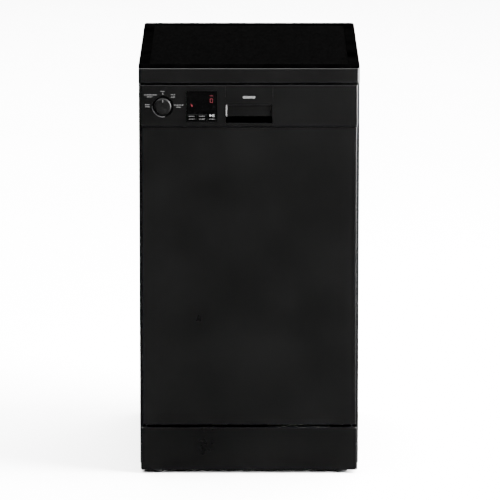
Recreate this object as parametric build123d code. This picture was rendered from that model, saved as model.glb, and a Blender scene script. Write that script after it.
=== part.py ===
from build123d import *

import os

# Free-standing slimline dishwasher, in millimetres.
# The origin is on the floor, at the middle of the footprint. +X is to the right of somebody facing
# the door, +Y runs from the door to the back and +Z is up.

# ---------------------------------------------------------------- overall size
WIDTH = 448.0
DEPTH = 600.0
HEIGHT = 850.0
HALF_WIDTH = WIDTH / 2
FRONT = -DEPTH / 2
BACK = DEPTH / 2

# ---------------------------------------------------------------- faces, front to back
WORKTOP_FRONT = FRONT + 4.0
FASCIA_FRONT = FRONT + 5.0
DOOR_FRONT = FRONT + 6.0
PLINTH_FRONT = FRONT + 16.0
LINER_BACK = FRONT + 56.0
FRAME_FRONT = FRONT + 62.0
PANEL_BACK = BACK - 8.0
TUB_REAR = BACK - 50.0
SERVICE_WALL = BACK - 30.0

# ---------------------------------------------------------------- levels
BASE_BOTTOM = 8.0
BASE_TOP = 60.0
SIDE_BOTTOM = 19.0
PLINTH_BOTTOM, PLINTH_TOP = 7.5, 96.0
DOOR_BOTTOM, DOOR_TOP = 105.0, 721.5
FASCIA_BOTTOM, FASCIA_TOP = 722.7, 807.7
WORKTOP_BOTTOM = 812.0
STRIP_TOP = 842.0
FRAME_TOP = 810.0
LINER_BOTTOM, LINER_TOP = 165.0, 803.0
TUB_FLOOR, TUB_CEILING = 160.0, 785.0

# ---------------------------------------------------------------- materials and widths
SHEET = 0.8
MOULDED = 2.5
SIDE_INNER = HALF_WIDTH - SHEET
TRAY_HALF = 222.5
TUB_HALF = 200.0
DOOR_HALF = 218.5
FASCIA_HALF = 220.0
PLINTH_HALF = 220.5
TRIM_WIDTH = 22.5

# ---------------------------------------------------------------- door hinge
HINGE_Y = FRONT + 28.0
HINGE_Z = 140.0
HINGE_PIN_R = 4.0
HINGE_BORE_R = 4.05

# ---------------------------------------------------------------- controls
KNOB_X, KNOB_Z = -174.7, 764.0
KNOB_R = 17.3
DISH_R, DISH_FLOOR_R, DISH_DEPTH = 22.0, 19.3, 3.5
WINDOW = ((-127.0, -64.4), (733.2, 795.8))
KEY_GAP = 0.3
KEY_ROW = (735.5, 748.0)
KEYS = {
    "key_half_load": (-125.0, -106.5),
    "key_delay_start": (-104.5, -86.0),
    "key_start_pause": (-84.0, -66.5),
}
INSERT_HALF = 48.0
POCKET_HALF = 47.0
POCKET_BOTTOM, POCKET_TOP = 730.0, 767.7
LEVER_HALF = 43.9
LEVER_BOTTOM, LEVER_TOP = 743.5, 766.4
LEVER_PIVOT = (FRONT + 10.5, 763.5)
LEVER_SETBACK = 3.0

# ---------------------------------------------------------------- wash system
HUB = (0.0, 5.0)
FILTER = (-62.0, -58.0)
SALT = (112.0, -120.0)
ARM_R = 165.0
LOWER_ARM = (188.0, 200.0)
UPPER_ARM = (486.0, 498.0)
FEED_TUBE_Z = 511.0

# ---------------------------------------------------------------- baskets and runners
WIRE, RIM = 4.0, 5.0
BASKET_FRONT, BASKET_BACK = -210.0, 210.0
LOWER_HALF, UPPER_HALF = 178.0, 170.0
LOWER_FLOOR, LOWER_RIM = 228.0, 358.0
UPPER_FLOOR, UPPER_RIM = 524.0, 640.0
WHEEL_R, WHEEL_Z = 17.0, 197.0
WHEEL_Y = {"lower_wheels_front": -162.0, "lower_wheels_rear": 162.0}
TRACK = (172.0, 190.0)
TRACK_TOP = 179.7
ROLLER_R, ROLLER_Z = 9.8, 600.0
ROLLER_Y = {"upper_rollers_front": -222.0, "upper_rollers_rear": -150.0}
RAIL_INNER, RAIL_OUTER = 186.0, 197.0

# ---------------------------------------------------------------- services on the back
COLLAR_END = SERVICE_WALL + 5.0
SPIGOT_END = BACK - 2.0
INLET = (150.0, 75.0)
INLET_COLLAR_R = 16.0
INLET_THREAD_R = 13.22
DRAIN = (-100.0, 105.0)
DRAIN_COLLAR_R = 13.0
DRAIN_SPIGOT_R = 10.5
GLAND = (-170.0, 75.0)

# ---------------------------------------------------------------- feet
FOOT_R, STEM_R = 13.0, 5.0
FEET = {
    "foot_front_left": (-188.5, -262.0),
    "foot_front_right": (188.5, -262.0),
    "foot_rear_left": (-188.5, 240.0),
    "foot_rear_right": (188.5, 240.0),
}


# ================================================================ small helpers
def block(x, y, z):
    """A box between the two limits given for each axis."""
    centre = [(low + high) / 2 for low, high in (x, y, z)]
    return Pos(*centre) * Box(x[1] - x[0], y[1] - y[0], z[1] - z[0])


def rod(start, end, radius):
    """A round bar from one point to another."""
    start, end = Vector(*start), Vector(*end)
    plane = Plane(origin=start, z_dir=end - start)
    return plane * Cylinder(radius, (end - start).length, align=(Align.CENTER, Align.CENTER, Align.MIN))


def tube(start, end, outer, inner):
    """A round bar with a hole all the way through it."""
    return rod(start, end, outer) - rod(start, end, inner)


def both_sides(shape):
    """The shape and its mirror image on the other side of the machine."""
    return [shape, mirror(shape, about=Plane.YZ)]


def rounded_plate(x, y, z, radius, axis):
    """A box whose edges along one axis are rounded."""
    plate = block(x, y, z)
    return fillet(plate.edges().filter_by(axis), radius)


def front_edges(shape, y):
    """The edges of a shape that lie in the plane at this y."""
    return shape.edges().filter_by(lambda e: abs(e.center().Y - y) < 0.01 and e.bounding_box().size.Y < 0.01)


def save(name, shape):
    """Write one piece, or one group of like pieces, to its own STEP file."""
    solids = shape if isinstance(shape, list) else [shape]
    solids = [s for item in solids for s in item.solids()]
    whole = solids[0] if len(solids) == 1 else Compound(children=solids)
    export_step(whole, f"parts/{name}.step")


# ================================================================ worktop
def strip_outline(grow=0.0):
    """The U-shaped band that the front strip fills, in plan, before it is cut to length."""
    length = 40.0
    y = WORKTOP_FRONT + length / 2
    outer = Pos(0, y) * RectangleRounded(WIDTH, length, 7.0)
    inner = Pos(0, y) * RectangleRounded(WIDTH - 8.0 - grow, length - 8.0 - grow, 3.5)
    return outer, inner


def worktop_front_strip():
    outer, inner = strip_outline()
    tall = STRIP_TOP - WORKTOP_BOTTOM
    band = extrude(Pos(0, 0, WORKTOP_BOTTOM) * outer, tall)
    band = fillet(band.edges().group_by(Axis.Z)[-1], 1.5)
    band = fillet(band.edges().group_by(Axis.Z)[0], 1.0)
    band -= extrude(Pos(0, 0, WORKTOP_BOTTOM) * inner, tall)
    keep = block((-HALF_WIDTH, HALF_WIDTH), (WORKTOP_FRONT, WORKTOP_FRONT + 20), (WORKTOP_BOTTOM, STRIP_TOP))
    return band & keep


def worktop_edge_trims():
    """Side trims, front nose and rear trim, cut from one rounded slab."""
    y0 = WORKTOP_FRONT + 1.3
    length = BACK - y0
    plan = Pos(0, (BACK + y0) / 2, WORKTOP_BOTTOM) * RectangleRounded(WIDTH, length, 7.0)
    slab = extrude(plan, HEIGHT - WORKTOP_BOTTOM)
    slab = fillet(slab.edges().group_by(Axis.Z)[-1], 4.0)
    outer, inner = strip_outline(grow=0.2)
    tall = STRIP_TOP - WORKTOP_BOTTOM + 0.1
    band = extrude(Pos(0, 0, WORKTOP_BOTTOM) * (outer - inner), tall)
    slab -= band & block((-HALF_WIDTH, HALF_WIDTH), (FRONT, WORKTOP_FRONT + 20.2), (WORKTOP_BOTTOM, HEIGHT))
    inside = HALF_WIDTH - TRIM_WIDTH
    high = (WORKTOP_BOTTOM, HEIGHT)
    right = slab & block((inside, HALF_WIDTH), (FRONT, BACK), high)
    nose = slab & block((-inside, inside), (FRONT, WORKTOP_FRONT + 7), high)
    rear = slab & block((-inside, inside), (TUB_REAR + 2, BACK), high)
    step = block((-inside, inside), (TUB_REAR + 2, TUB_REAR + 24), (HEIGHT - 1.5, HEIGHT))
    rear = rear - step
    return both_sides(right) + [nose, rear]


def worktop_panel():
    inside = HALF_WIDTH - TRIM_WIDTH - 0.1
    return block((-inside, inside), (WORKTOP_FRONT + 7.1, TUB_REAR + 1.9), (HEIGHT - 25, HEIGHT - 1))


# ================================================================ cabinet
def screw_places():
    """The eight screws that hold the rear panel to the side panels' flanges."""
    return [(x, z) for x in (-215.0, 215.0) for z in (175.0, 380.0, 590.0, 795.0)]


def side_panel():
    z = (SIDE_BOTTOM, WORKTOP_BOTTOM - 0.5)
    y = (FRONT + 32, PANEL_BACK)
    sheet = block((SIDE_INNER, HALF_WIDTH), y, z)
    hem = block((HALF_WIDTH - 3.4, HALF_WIDTH), (y[0], y[0] + SHEET), z)
    hem += block((HALF_WIDTH - 3.4, HALF_WIDTH - 2.6), (y[0], y[0] + 12), z)
    rear = block((HALF_WIDTH - 16, HALF_WIDTH), (PANEL_BACK - SHEET, PANEL_BACK), z)
    top = block((HALF_WIDTH - 16, HALF_WIDTH), (FRAME_FRONT + 40, PANEL_BACK), (z[1] - SHEET, z[1]))
    panel = sheet + hem + rear + top
    for x, height in screw_places():
        if x > 0:
            panel -= rod((x, PANEL_BACK - 5, height), (x, PANEL_BACK + 5, height), 2.1)
    corner = panel.edges().filter_by(Axis.Z).filter_by(
        lambda e: abs(e.center().X - HALF_WIDTH) < 0.01 and abs(e.center().Y - y[0]) < 0.01
    )
    return fillet(corner, 1.0)


def rear_panel():
    y = PANEL_BACK + 0.2
    panel = block((-TRAY_HALF, TRAY_HALF), (y, y + 1.0), (150.0, WORKTOP_BOTTOM - 1))
    field = rounded_plate((-160, 160), (y, y + 5), (230, 740), 18.0, Axis.Y)
    hollow = rounded_plate((-159, 159), (y - 1, y + 4), (231, 739), 17.0, Axis.Y)
    panel = panel + field - hollow
    for x, z in screw_places():
        panel -= rod((x, y - 1, z), (x, y + 2, z), 2.1)
    return panel


def cabinet_screws():
    y = PANEL_BACK + 1.2
    screws = []
    for x, z in screw_places():
        head = rod((x, y, z), (x, y + 2.2, z), 4.0)
        screws.append(fillet(head.edges().group_by(Axis.Y)[-1], 1.0) + rod((x, y - 6, z), (x, y, z), 2.0))
    return screws


def base_tray():
    y = (PLINTH_FRONT + 3.5, SERVICE_WALL + 3)
    wall = 3.0
    tray = block((-TRAY_HALF, TRAY_HALF), y, (BASE_BOTTOM, BASE_TOP))
    tray -= block(
        (-TRAY_HALF + wall, TRAY_HALF - wall), (y[0] + wall, y[1] - wall), (BASE_BOTTOM + wall, BASE_TOP + 1)
    )
    tray += block((-TRAY_HALF, TRAY_HALF), (SERVICE_WALL, y[1]), (BASE_TOP, 148.0))
    for rib_y in (-200.0, -100.0, 0.0, 170.0):
        tray += block((-219.5, 219.5), (rib_y, rib_y + wall), (BASE_BOTTOM + wall, 24.0))
    for side in (-1, 1):
        x = sorted((side * 196.0, side * 216.0))
        tray += block(x, (-84.0, -78.0), (BASE_BOTTOM + wall, 134.0))
        x = sorted((side * (HALF_WIDTH - 3.6), side * HALF_WIDTH))
        tray -= block(x, (FRONT + 31.8, FRONT + 44.2), (SIDE_BOTTOM - 0.2, BASE_TOP + 1))
    for x, foot_y in FEET.values():
        tray += rod((x, foot_y, BASE_BOTTOM + wall), (x, foot_y, 42), FOOT_R)
        tray -= rod((x, foot_y, 0), (x, foot_y, 50), STEM_R + 0.1)
    for (x, z), radius in ((INLET, INLET_COLLAR_R + 0.5), (DRAIN, DRAIN_COLLAR_R + 0.5), (GLAND, 9.0)):
        tray -= rod((x, SERVICE_WALL - 5, z), (x, SERVICE_WALL + 5, z), radius)
    return tray


def plinth():
    y = (PLINTH_FRONT, PLINTH_FRONT + 13)
    face = block((-PLINTH_HALF, PLINTH_HALF), y, (PLINTH_BOTTOM, PLINTH_TOP))
    face = fillet(face.edges().filter_by(Axis.Z).group_by(Axis.Y)[0], 2.5)
    face = fillet(face.edges().filter_by(Axis.X).group_by(Axis.Y)[0].group_by(Axis.Z)[-1], 1.5)
    inside = block(
        (-PLINTH_HALF + MOULDED, PLINTH_HALF - MOULDED),
        (y[0] + MOULDED, y[1] + 1),
        (PLINTH_BOTTOM - 1, PLINTH_TOP - MOULDED),
    )
    side_gap = block((-HALF_WIDTH, HALF_WIDTH), (y[0] + 3.4, y[1] + 1), (0, BASE_TOP + 0.5))
    return face - inside - side_gap


def foot(x, y):
    pad = rod((x, y, 0), (x, y, BASE_BOTTOM - 0.2), FOOT_R)
    pad = fillet(pad.edges().group_by(Axis.Z)[0], 1.0)
    return pad + rod((x, y, BASE_BOTTOM - 0.2), (x, y, 44), STEM_R)


def front_frame():
    """Two stiles, a top rail with the striker, and a bottom rail above the open door's bottom edge."""
    y = (FRAME_FRONT, FRAME_FRONT + SHEET)
    inner, outer = TUB_HALF + SHEET + 0.2, 222.4
    stile = block((inner, outer), y, (LINER_BOTTOM, FRAME_TOP))
    stile += block((outer - SHEET, outer), (y[0], y[0] + 18), (LINER_BOTTOM, FRAME_TOP))
    span = (-inner + 0.1, inner - 0.1)
    top = block(span, y, (TUB_CEILING + SHEET + 0.2, FRAME_TOP))
    top += block(span, (y[0], y[0] + 38), (FRAME_TOP - SHEET, FRAME_TOP))
    striker = block((-7, 7), (y[0] - 18, y[0]), (796, 799))
    striker -= block((-4, 4), (y[0] - 14, y[0] - 6), (790, 805))
    low = HINGE_Z - 3.0
    bottom = block((-195, 195), y, (low, TUB_FLOOR - SHEET - 0.2))
    bottom += block((-195, 195), (y[0], y[0] + 16), (low, low + SHEET))
    return both_sides(stile) + [top + striker, bottom]


# ================================================================ tub and its fittings
def tub():
    """A rounded box open at the door, with hollow wheel tracks and holes in its floor."""
    shell = rounded_plate(
        (-TUB_HALF - SHEET, TUB_HALF + SHEET),
        (FRAME_FRONT, TUB_REAR + SHEET),
        (TUB_FLOOR - SHEET, TUB_CEILING + SHEET),
        19.2,
        Axis.Y,
    )
    room = rounded_plate(
        (-TUB_HALF, TUB_HALF), (FRAME_FRONT - 1, TUB_REAR), (TUB_FLOOR, TUB_CEILING), 18.0, Axis.Y
    )
    shell -= room
    shell += block((-182, 182), (FRAME_FRONT, FRAME_FRONT + SHEET), (TUB_FLOOR - 0.5, 176.0))
    for side in (-1, 1):
        x = sorted((side * TRACK[0], side * TRACK[1]))
        inner = sorted((side * (TRACK[0] + SHEET), side * (TRACK[1] - SHEET)))
        track = block(x, (FRAME_FRONT + 1, 238), (TUB_FLOOR - 0.5, TRACK_TOP))
        shell += track - block(inner, (FRAME_FRONT + 2.2, 236.8), (TUB_FLOOR - 2, TRACK_TOP - SHEET))
    for (x, y), radius in ((FILTER, 42.5), (HUB, 14.0), (SALT, 28.0)):
        shell -= rod((x, y, TUB_FLOOR - 5), (x, y, TUB_FLOOR + 5), radius)
    return shell


def tub_gasket():
    y = (LINER_BACK + 0.3, FRAME_FRONT)
    seal = rounded_plate((-210, 210), y, (168 - 30, 793.5), 14.0, Axis.Y)
    seal -= rounded_plate((-203, 203), (y[0] - 1, y[1] + 1), (168 - 40, 786.5), 8.0, Axis.Y)
    return seal & block((-220, 220), (y[0] - 1, y[1] + 1), (168, 800))


def roller_brackets():
    plate = rounded_plate((198.3, TUB_HALF), (-234, -138), (590, 610), 5.0, Axis.X)
    for y in ROLLER_Y.values():
        plate += rod((188.6, y, ROLLER_Z), (199, y, ROLLER_Z), 3.0)
    return both_sides(plate)


def rollers(y):
    wheel = tube((189.6, y, ROLLER_Z), (196.6, y, ROLLER_Z), ROLLER_R, 3.1)
    return both_sides(wheel)


def spray_feed_pipe():
    """The duct up the tub's back wall, along its ceiling, and the shower head at the end."""
    riser = block((-16, 16), (236, 249.8), (164, 784.8))
    ceiling = block((-16, 16), (HUB[1], 236), (773, 784.8))
    head = Pos(HUB[0], HUB[1], 774) * Cone(20, 30, 12)
    dock = rod((0, 227.8, FEED_TUBE_Z), (0, 236, FEED_TUBE_Z), 13)
    pipe = fillet(riser.edges().filter_by(Axis.Z).group_by(Axis.Y)[0], 5) + ceiling + head + dock
    for x in (-9.0, 0.0, 9.0):
        pipe -= rod((x, HUB[1], 760), (x, HUB[1], 775), 1.5)
    return pipe


def fine_filter():
    plate = rounded_plate((-135, 55), (-130, 62), (TUB_FLOOR + 0.1, TUB_FLOOR + 1.7), 20, Axis.Z)
    plate -= rod((*FILTER, 150), (*FILTER, 170), 37.0)
    return plate - rod((*HUB, 150), (*HUB, 170), 14.0)


def coarse_filter():
    """A cup of mesh under a flange, with a bar handle across its top."""
    x, y = FILTER
    cup = rod((x, y, 100), (x, y, 161), 34) - rod((x, y, 103), (x, y, 170), 32)
    flange = tube((x, y, 161), (x, y, 164), 36.5, 30)
    handle = block((x - 31, x + 31), (y - 3, y + 3), (162, 176))
    handle = fillet(handle.edges().filter_by(Axis.Y).group_by(Axis.Z)[-1], 6)
    return cup + flange + handle


def sump():
    """The well under the filter, the duct to the spray hub, and the spigot for the lower arm."""
    x, y = FILTER
    under_floor = TUB_FLOOR - SHEET - 0.2
    duct = rod((*HUB, 112), (*HUB, under_floor), 20)
    link = block((-10, 10), (-45, 35), (112, 140))
    link = Rot(0, 0, -45) * link
    link = Pos((x + HUB[0]) / 2, (y + HUB[1]) / 2, 0) * link
    well = rod((x, y, 92), (x, y, under_floor), 46)
    spigot = rod((*HUB, under_floor), (*HUB, 203), 9.9)
    collar = rod((*HUB, under_floor), (*HUB, LOWER_ARM[0] - 2.4), 13)
    return duct + link + spigot + collar + well - rod((x, y, 96), (x, y, 170), 43)


def circulation_pump():
    y, z = 92.0, 100.0
    housing = fillet(rod((-15, y, z), (15, y, z), 48).edges(), 5)
    motor = fillet(rod((15, y, z), (132, y, z), 40).edges().group_by(Axis.X)[-1], 6)
    outlet = rod((0, HUB[1] + 20.2, 126), (0, y - 20, 126), 11)
    feet = block((40, 110), (y - 18, y + 18), (BASE_BOTTOM + 3, z - 30))
    return housing + motor + outlet + feet


def drain_pump():
    x, z = FILTER[0], 80.0
    motor = fillet(rod((x, 12, z), (x, 40, z), 25).edges(), 3)
    inlet = rod((x, FILTER[1] + 46.2, z + 20), (x, 20, z + 20), 10)
    outlet = rod((x, 26, z), (x - 38, 26, z), 8)
    foot_block = block((x - 15, x + 15), (16, 36), (BASE_BOTTOM + 3, z - 15))
    return motor + inlet + outlet + foot_block


def water_softener():
    x, y = SALT
    tank = rounded_plate((62, 166), (-192, -62), (64, 156), 12, Axis.Z)
    neck = rod((x, y, 150), (x, y, 170), 27)
    return tank + neck - rod((x, y, 120), (x, y, 175), 23.5)


def salt_cap():
    x, y = SALT
    plug = rod((x, y, 150), (x, y, 171), 23)
    top = fillet(rod((x, y, 170.3), (x, y, 178), 30).edges().group_by(Axis.Z)[-1], 2)
    grip = rounded_plate((x - 22, x + 22), (y - 4, y + 4), (177, 184), 3, Axis.Z)
    return plug + top + grip


def spray_arm(z, hub_top, bore):
    """A two-armed blade, widest at the hub, with a row of jets along each arm."""
    half = Polyline((0, -19), (ARM_R - 14, -12), (ARM_R - 14, 12), (0, 19), close=True)
    blade = make_face(half)
    tip = Pos(ARM_R - 14, 0) * Circle(12)
    plan = blade + tip
    plan = plan + Rot(0, 0, 180) * plan + Circle(24)
    arm = extrude(Pos(HUB[0], HUB[1], z[0]) * plan, z[1] - z[0])
    arm += rod((*HUB, z[0]), (*HUB, hub_top), 18)
    arm -= rod((*HUB, z[0] - 5), (*HUB, bore[1]), bore[0])
    for reach in (45.0, 80.0, 115.0, 148.0):
        for side in (-1, 1):
            place = (HUB[0] + side * reach, HUB[1] + side * 4.0)
            arm -= rod((*place, z[1] - 3), (*place, z[1] + 1), 2.2)
    return arm


def basket_feed_tube():
    """The tube under the upper basket that takes water from the back wall to the upper arm."""
    pipe = rod((0, HUB[1], FEED_TUBE_Z), (0, 227.2, FEED_TUBE_Z), 9)
    mouth = rod((0, 215, FEED_TUBE_Z), (0, 227.2, FEED_TUBE_Z), 10.6)
    spigot = rod((*HUB, UPPER_ARM[0] - 1), (*HUB, FEED_TUBE_Z), 8)
    cap = rod((*HUB, UPPER_ARM[0] - 6), (*HUB, UPPER_ARM[0] - 0.6), 13)
    collar = rod((*HUB, 502.4), (*HUB, FEED_TUBE_Z + 9), 12)
    return pipe + mouth + spigot + cap + collar


def air_break_chamber():
    plate = block((204.5, 210), (-120, 250), (256, 700))
    ribs = [block((210, 220), (-120, 250), (z, z + 3)) for z in (256, 697)]
    ribs += [block((210, 220), (y, y + 3), (256, 700)) for y in (-120, 247)]
    ribs += [block((210, 220), (-90, 217) if n % 2 else (-120, 187), (z, z + 3))
             for n, z in enumerate((340, 430, 520, 610))]
    for rib in ribs:
        plate += rib
    return plate


def inlet_valve():
    x, z = INLET
    body = rounded_plate((x - 20, x + 20), (222, SERVICE_WALL - 1), (z - 18, z + 18), 6, Axis.Y)
    coil = rod((x, 240, z + 18), (x, 240, z + 30), 10)
    collar = tube((x, SERVICE_WALL - 5, z), (x, COLLAR_END, z), INLET_COLLAR_R, 9)
    thread = tube((x, COLLAR_END, z), (x, SPIGOT_END, z), INLET_THREAD_R, 9)
    return body + coil + collar + thread


def drain_outlet():
    x, z = DRAIN
    flange = rod((x, SERVICE_WALL - 5, z), (x, SERVICE_WALL - 0.2, z), 17)
    collar = rod((x, SERVICE_WALL - 5, z), (x, COLLAR_END, z), DRAIN_COLLAR_R)
    spigot = rod((x, COLLAR_END, z), (x, SPIGOT_END, z), DRAIN_SPIGOT_R)
    return flange + collar + spigot - rod((x, SERVICE_WALL - 2, z), (x, BACK, z), 8)


def mains_gland():
    x, z = GLAND
    inside = rod((x, SERVICE_WALL - 8, z), (x, SERVICE_WALL - 0.2, z), 13)
    outside = rod((x, SERVICE_WALL + 3.2, z), (x, SERVICE_WALL + 15, z), 13)
    neck = rod((x, SERVICE_WALL - 8, z), (x, SERVICE_WALL + 15, z), 8.8)
    return inside + outside + neck - rod((x, SERVICE_WALL - 12, z), (x, BACK, z), 4.5)


def hose(route, radius, bend):
    """A solid tube along straight runs joined by arcs of one radius."""
    path = FilletPolyline(*route, radius=bend)
    start = Plane(origin=path @ 0, z_dir=path % 0)
    return sweep(start * Circle(radius), path)


def internal_hoses():
    x, z = INLET
    chamber_x = 212.5
    fill = [(x, 240, z + 30.2), (x, 240, 134), (chamber_x, 240, 134), (chamber_x, 240, 255.8)]
    x, z = DRAIN
    waste = [(x - 0.2, 26, 80), (x - 45, 26, 80), (x - 45, 190, 92), (x, 218, z), (x, SERVICE_WALL - 5.2, z)]
    return [hose(fill, 6.0, 18.0), hose(waste, 8.0, 20.0)]


# ================================================================ door
def door_panel():
    depth = 24.0
    z = (DOOR_BOTTOM, DOOR_TOP)
    skin = block((-DOOR_HALF, DOOR_HALF), (DOOR_FRONT, DOOR_FRONT + depth), z)
    skin = fillet(skin.edges().filter_by(Axis.Z).group_by(Axis.Y)[0], 2.5)
    inside = DOOR_HALF - SHEET
    skin -= block((-inside, inside), (DOOR_FRONT + SHEET, 0), (z[0] + SHEET, z[1] - SHEET))
    for side in (-1, 1):
        x = sorted((side * 198.0, side * inside))
        skin -= block(x, (DOOR_FRONT + SHEET, 0), (z[0] - 1, z[0] + 5))
    return skin - block((-inside, inside), (DOOR_FRONT + 16, 0), (z[0] - 1, z[1] + 1))


def door_liner():
    depth = 24.0
    z = (LINER_BOTTOM, LINER_TOP)
    pan = rounded_plate((-212, 212), (LINER_BACK - depth, LINER_BACK), z, 6.0, Axis.Y)
    inside = (z[0] + SHEET, z[1] - SHEET)
    pan -= rounded_plate((-210.8, 210.8), (LINER_BACK - depth - 1, LINER_BACK - SHEET), inside, 4.8, Axis.Y)
    field = ((-172, 172), (215, 372))
    pan -= rounded_plate(field[0], (LINER_BACK - 0.6, LINER_BACK + 1), field[1], 16, Axis.Y)
    pan -= rounded_plate(field[0], (LINER_BACK - 0.6, LINER_BACK + 1), (560, 745), 16, Axis.Y)
    pan -= block((-82.3, 82.3), (LINER_BACK - 5, LINER_BACK + 5), (386.7, 543.3))
    return pan - block((-10, 10), (LINER_BACK - 5, LINER_BACK + 5), (790, LINER_TOP + 1))


def control_panel():
    """The moulded fascia: a shell open at the back, with a dish for the knob."""
    y0, y1 = FASCIA_FRONT, LINER_BACK - 2
    z = (FASCIA_BOTTOM, FASCIA_TOP)
    shell = block((-FASCIA_HALF, FASCIA_HALF), (y0, y1), z)
    shell = fillet(shell.edges().filter_by(Axis.Z).group_by(Axis.Y)[0], 3.0)
    shell = fillet(shell.edges().filter_by(Axis.X).group_by(Axis.Y)[0], 0.8)
    inside = FASCIA_HALF - MOULDED
    shell -= block((-inside, inside), (y0 + MOULDED, y1 + 1), (z[0] + MOULDED, z[1] - MOULDED))
    shell -= block((-230, 230), (y0 + 31, y1 + 1), (z[0] - 1, z[1] - MOULDED))
    shell -= block((-inside, inside), (y0 + 12, y1 + 1), (z[0] - 1, z[0] + MOULDED + 1))
    floor_y = y0 + DISH_DEPTH
    shell += rod((KNOB_X, y0 + 1, KNOB_Z), (KNOB_X, floor_y + 2, KNOB_Z), DISH_R + 2)
    middle = (KNOB_X, y0 + DISH_DEPTH / 2, KNOB_Z)
    dish = Pos(*middle) * Rot(-90, 0, 0) * Cone(DISH_R, DISH_FLOOR_R, DISH_DEPTH)
    shell -= dish
    shell -= rod((KNOB_X, y0, KNOB_Z), (KNOB_X, floor_y + 5, KNOB_Z), 6.5)
    gap = 0.2
    x, height = WINDOW
    shell -= block((x[0] - gap, x[1] + gap), (y0 - 1, y0 + 5), (height[0] - gap, height[1] + gap))
    notch = INSERT_HALF + gap
    shell -= block((-notch, notch), (y0 - 1, y0 + MOULDED), (z[0] - 1, z[1] + 1))
    return shell - block((-50, 50), (y0 + MOULDED, y0 + 8), (z[0] - 1, z[0] + MOULDED + 1))


def programme_knob():
    face = FRONT
    back = FASCIA_FRONT + DISH_DEPTH - 0.5
    cap = rod((KNOB_X, face, KNOB_Z), (KNOB_X, back, KNOB_Z), KNOB_R)
    cap = fillet(cap.edges().group_by(Axis.Y)[0], 1.4)
    cap -= block((KNOB_X - 0.6, KNOB_X + 0.6), (face - 1, face + 0.5), (KNOB_Z + 8, KNOB_Z + 14.5))
    hub = rod((KNOB_X, back, KNOB_Z), (KNOB_X, FRONT + 15, KNOB_Z), 5.0)
    return cap + hub - rod((KNOB_X, FRONT + 4, KNOB_Z), (KNOB_X, FRONT + 30, KNOB_Z), 3.05)


def display_window():
    x, z = WINDOW
    y = (FASCIA_FRONT - 0.3, FASCIA_FRONT + 2.6)
    plate = block(x, y, z)
    for key in KEYS.values():
        hole = (key[0] - KEY_GAP, key[1] + KEY_GAP)
        plate -= block(hole, (y[0] - 1, y[1] + 1), (KEY_ROW[0] - KEY_GAP, KEY_ROW[1] + KEY_GAP))
    return plate


def key_cap(x):
    y = FASCIA_FRONT - 0.3
    cap = block(x, (y, y + 3), KEY_ROW)
    cap = fillet(front_edges(cap, y), 0.4)
    middle = (x[0] + x[1]) / 2
    return cap + block((middle - 3, middle + 3), (y + 3, y + 7), (739, 745))


def control_board():
    """Circuit board with the knob's encoder and shaft, the digit display and three tact switches."""
    y = (FRONT + 16.2, FRONT + 17.8)
    board = block((-206, -56), y, (730, 801))
    board += block((KNOB_X - 9, KNOB_X + 9), (y[1] - 0.2, y[1] + 9), (KNOB_Z - 9, KNOB_Z + 9))
    board += rod((KNOB_X, FRONT + 5, KNOB_Z), (KNOB_X, y[0] + 0.5, KNOB_Z), 3.0)
    board += block((-86, -68), (FASCIA_FRONT + 3, y[0] + 0.2), (762, 786))
    for key in KEYS.values():
        middle = (key[0] + key[1]) / 2
        board += block((middle - 3, middle + 3), (FASCIA_FRONT + 8.0, y[0] + 0.2), (739, 745))
    board += block((-140, -110), (y[1] - 0.2, y[1] + 11), (770, 790))
    return board


def handle_insert():
    """The middle of the fascia: a plate with a pocket behind it and sloping cheeks beside the lever."""
    y0 = FASCIA_FRONT
    skin = y0 + MOULDED
    plate = block((-INSERT_HALF, INSERT_HALF), (y0, skin), (FASCIA_BOTTOM, FASCIA_TOP))
    plate = fillet(plate.edges().filter_by(Axis.X).group_by(Axis.Y)[0], 0.8)
    depth = y0 + 31
    pocket = block((-49, 49), (skin + 0.05, depth), (POCKET_BOTTOM - 2, 783))
    pocket -= block((-POCKET_HALF, POCKET_HALF), (y0, depth - 2), (POCKET_BOTTOM, 781))
    body = plate + block((-47.9, 47.9), (skin - 0.1, skin + 0.1), (POCKET_BOTTOM - 2, 783)) + pocket
    body -= block((-POCKET_HALF, POCKET_HALF), (y0 - 1, skin + 1), (POCKET_BOTTOM, POCKET_TOP))
    cheek_x = LEVER_HALF + 0.3
    lever_y = y0 + LEVER_SETBACK
    outline = Polyline(
        (POCKET_HALF, y0), (POCKET_HALF, y0 + 11), (cheek_x, y0 + 11), (cheek_x, lever_y), close=True
    )
    cheek = extrude(Pos(0, 0, LEVER_BOTTOM) * make_face(outline), POCKET_TOP - LEVER_BOTTOM)
    cheek -= rod((cheek_x - 5, *LEVER_PIVOT), (POCKET_HALF, *LEVER_PIVOT), 2.0)
    for side in both_sides(cheek):
        body += side
    return body


def handle_lever():
    """The pull flap, with a lip to hook fingers behind, two pivot pins and a tail for the latch."""
    y0 = FASCIA_FRONT + LEVER_SETBACK
    flap = block((-LEVER_HALF, LEVER_HALF), (y0, y0 + 4.5), (LEVER_BOTTOM, LEVER_TOP))
    flap = fillet(front_edges(flap, y0), 0.8)
    lip = block((-LEVER_HALF, LEVER_HALF), (y0 + 3, y0 + 9), (LEVER_BOTTOM, LEVER_BOTTOM + 3))
    tail = block((-5, 5), (y0 + 4, y0 + 16), (LEVER_TOP - 5, LEVER_TOP))
    lever = flap + fillet(lip.edges().filter_by(Axis.X).group_by(Axis.Y)[-1], 1.0) + tail
    for side in (-1, 1):
        lever += rod((side * (LEVER_HALF - 1), *LEVER_PIVOT), (side * 46.6, *LEVER_PIVOT), 1.9)
    return lever


def door_latch():
    y = (LINER_BACK - 28, LINER_BACK - 1.6)
    body = rounded_plate((-26, 26), y, (784, 801.5), 3, Axis.Y)
    return body - block((-9.5, 9.5), (y[0] + 8, y[1] + 1), (792, 803))


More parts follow.
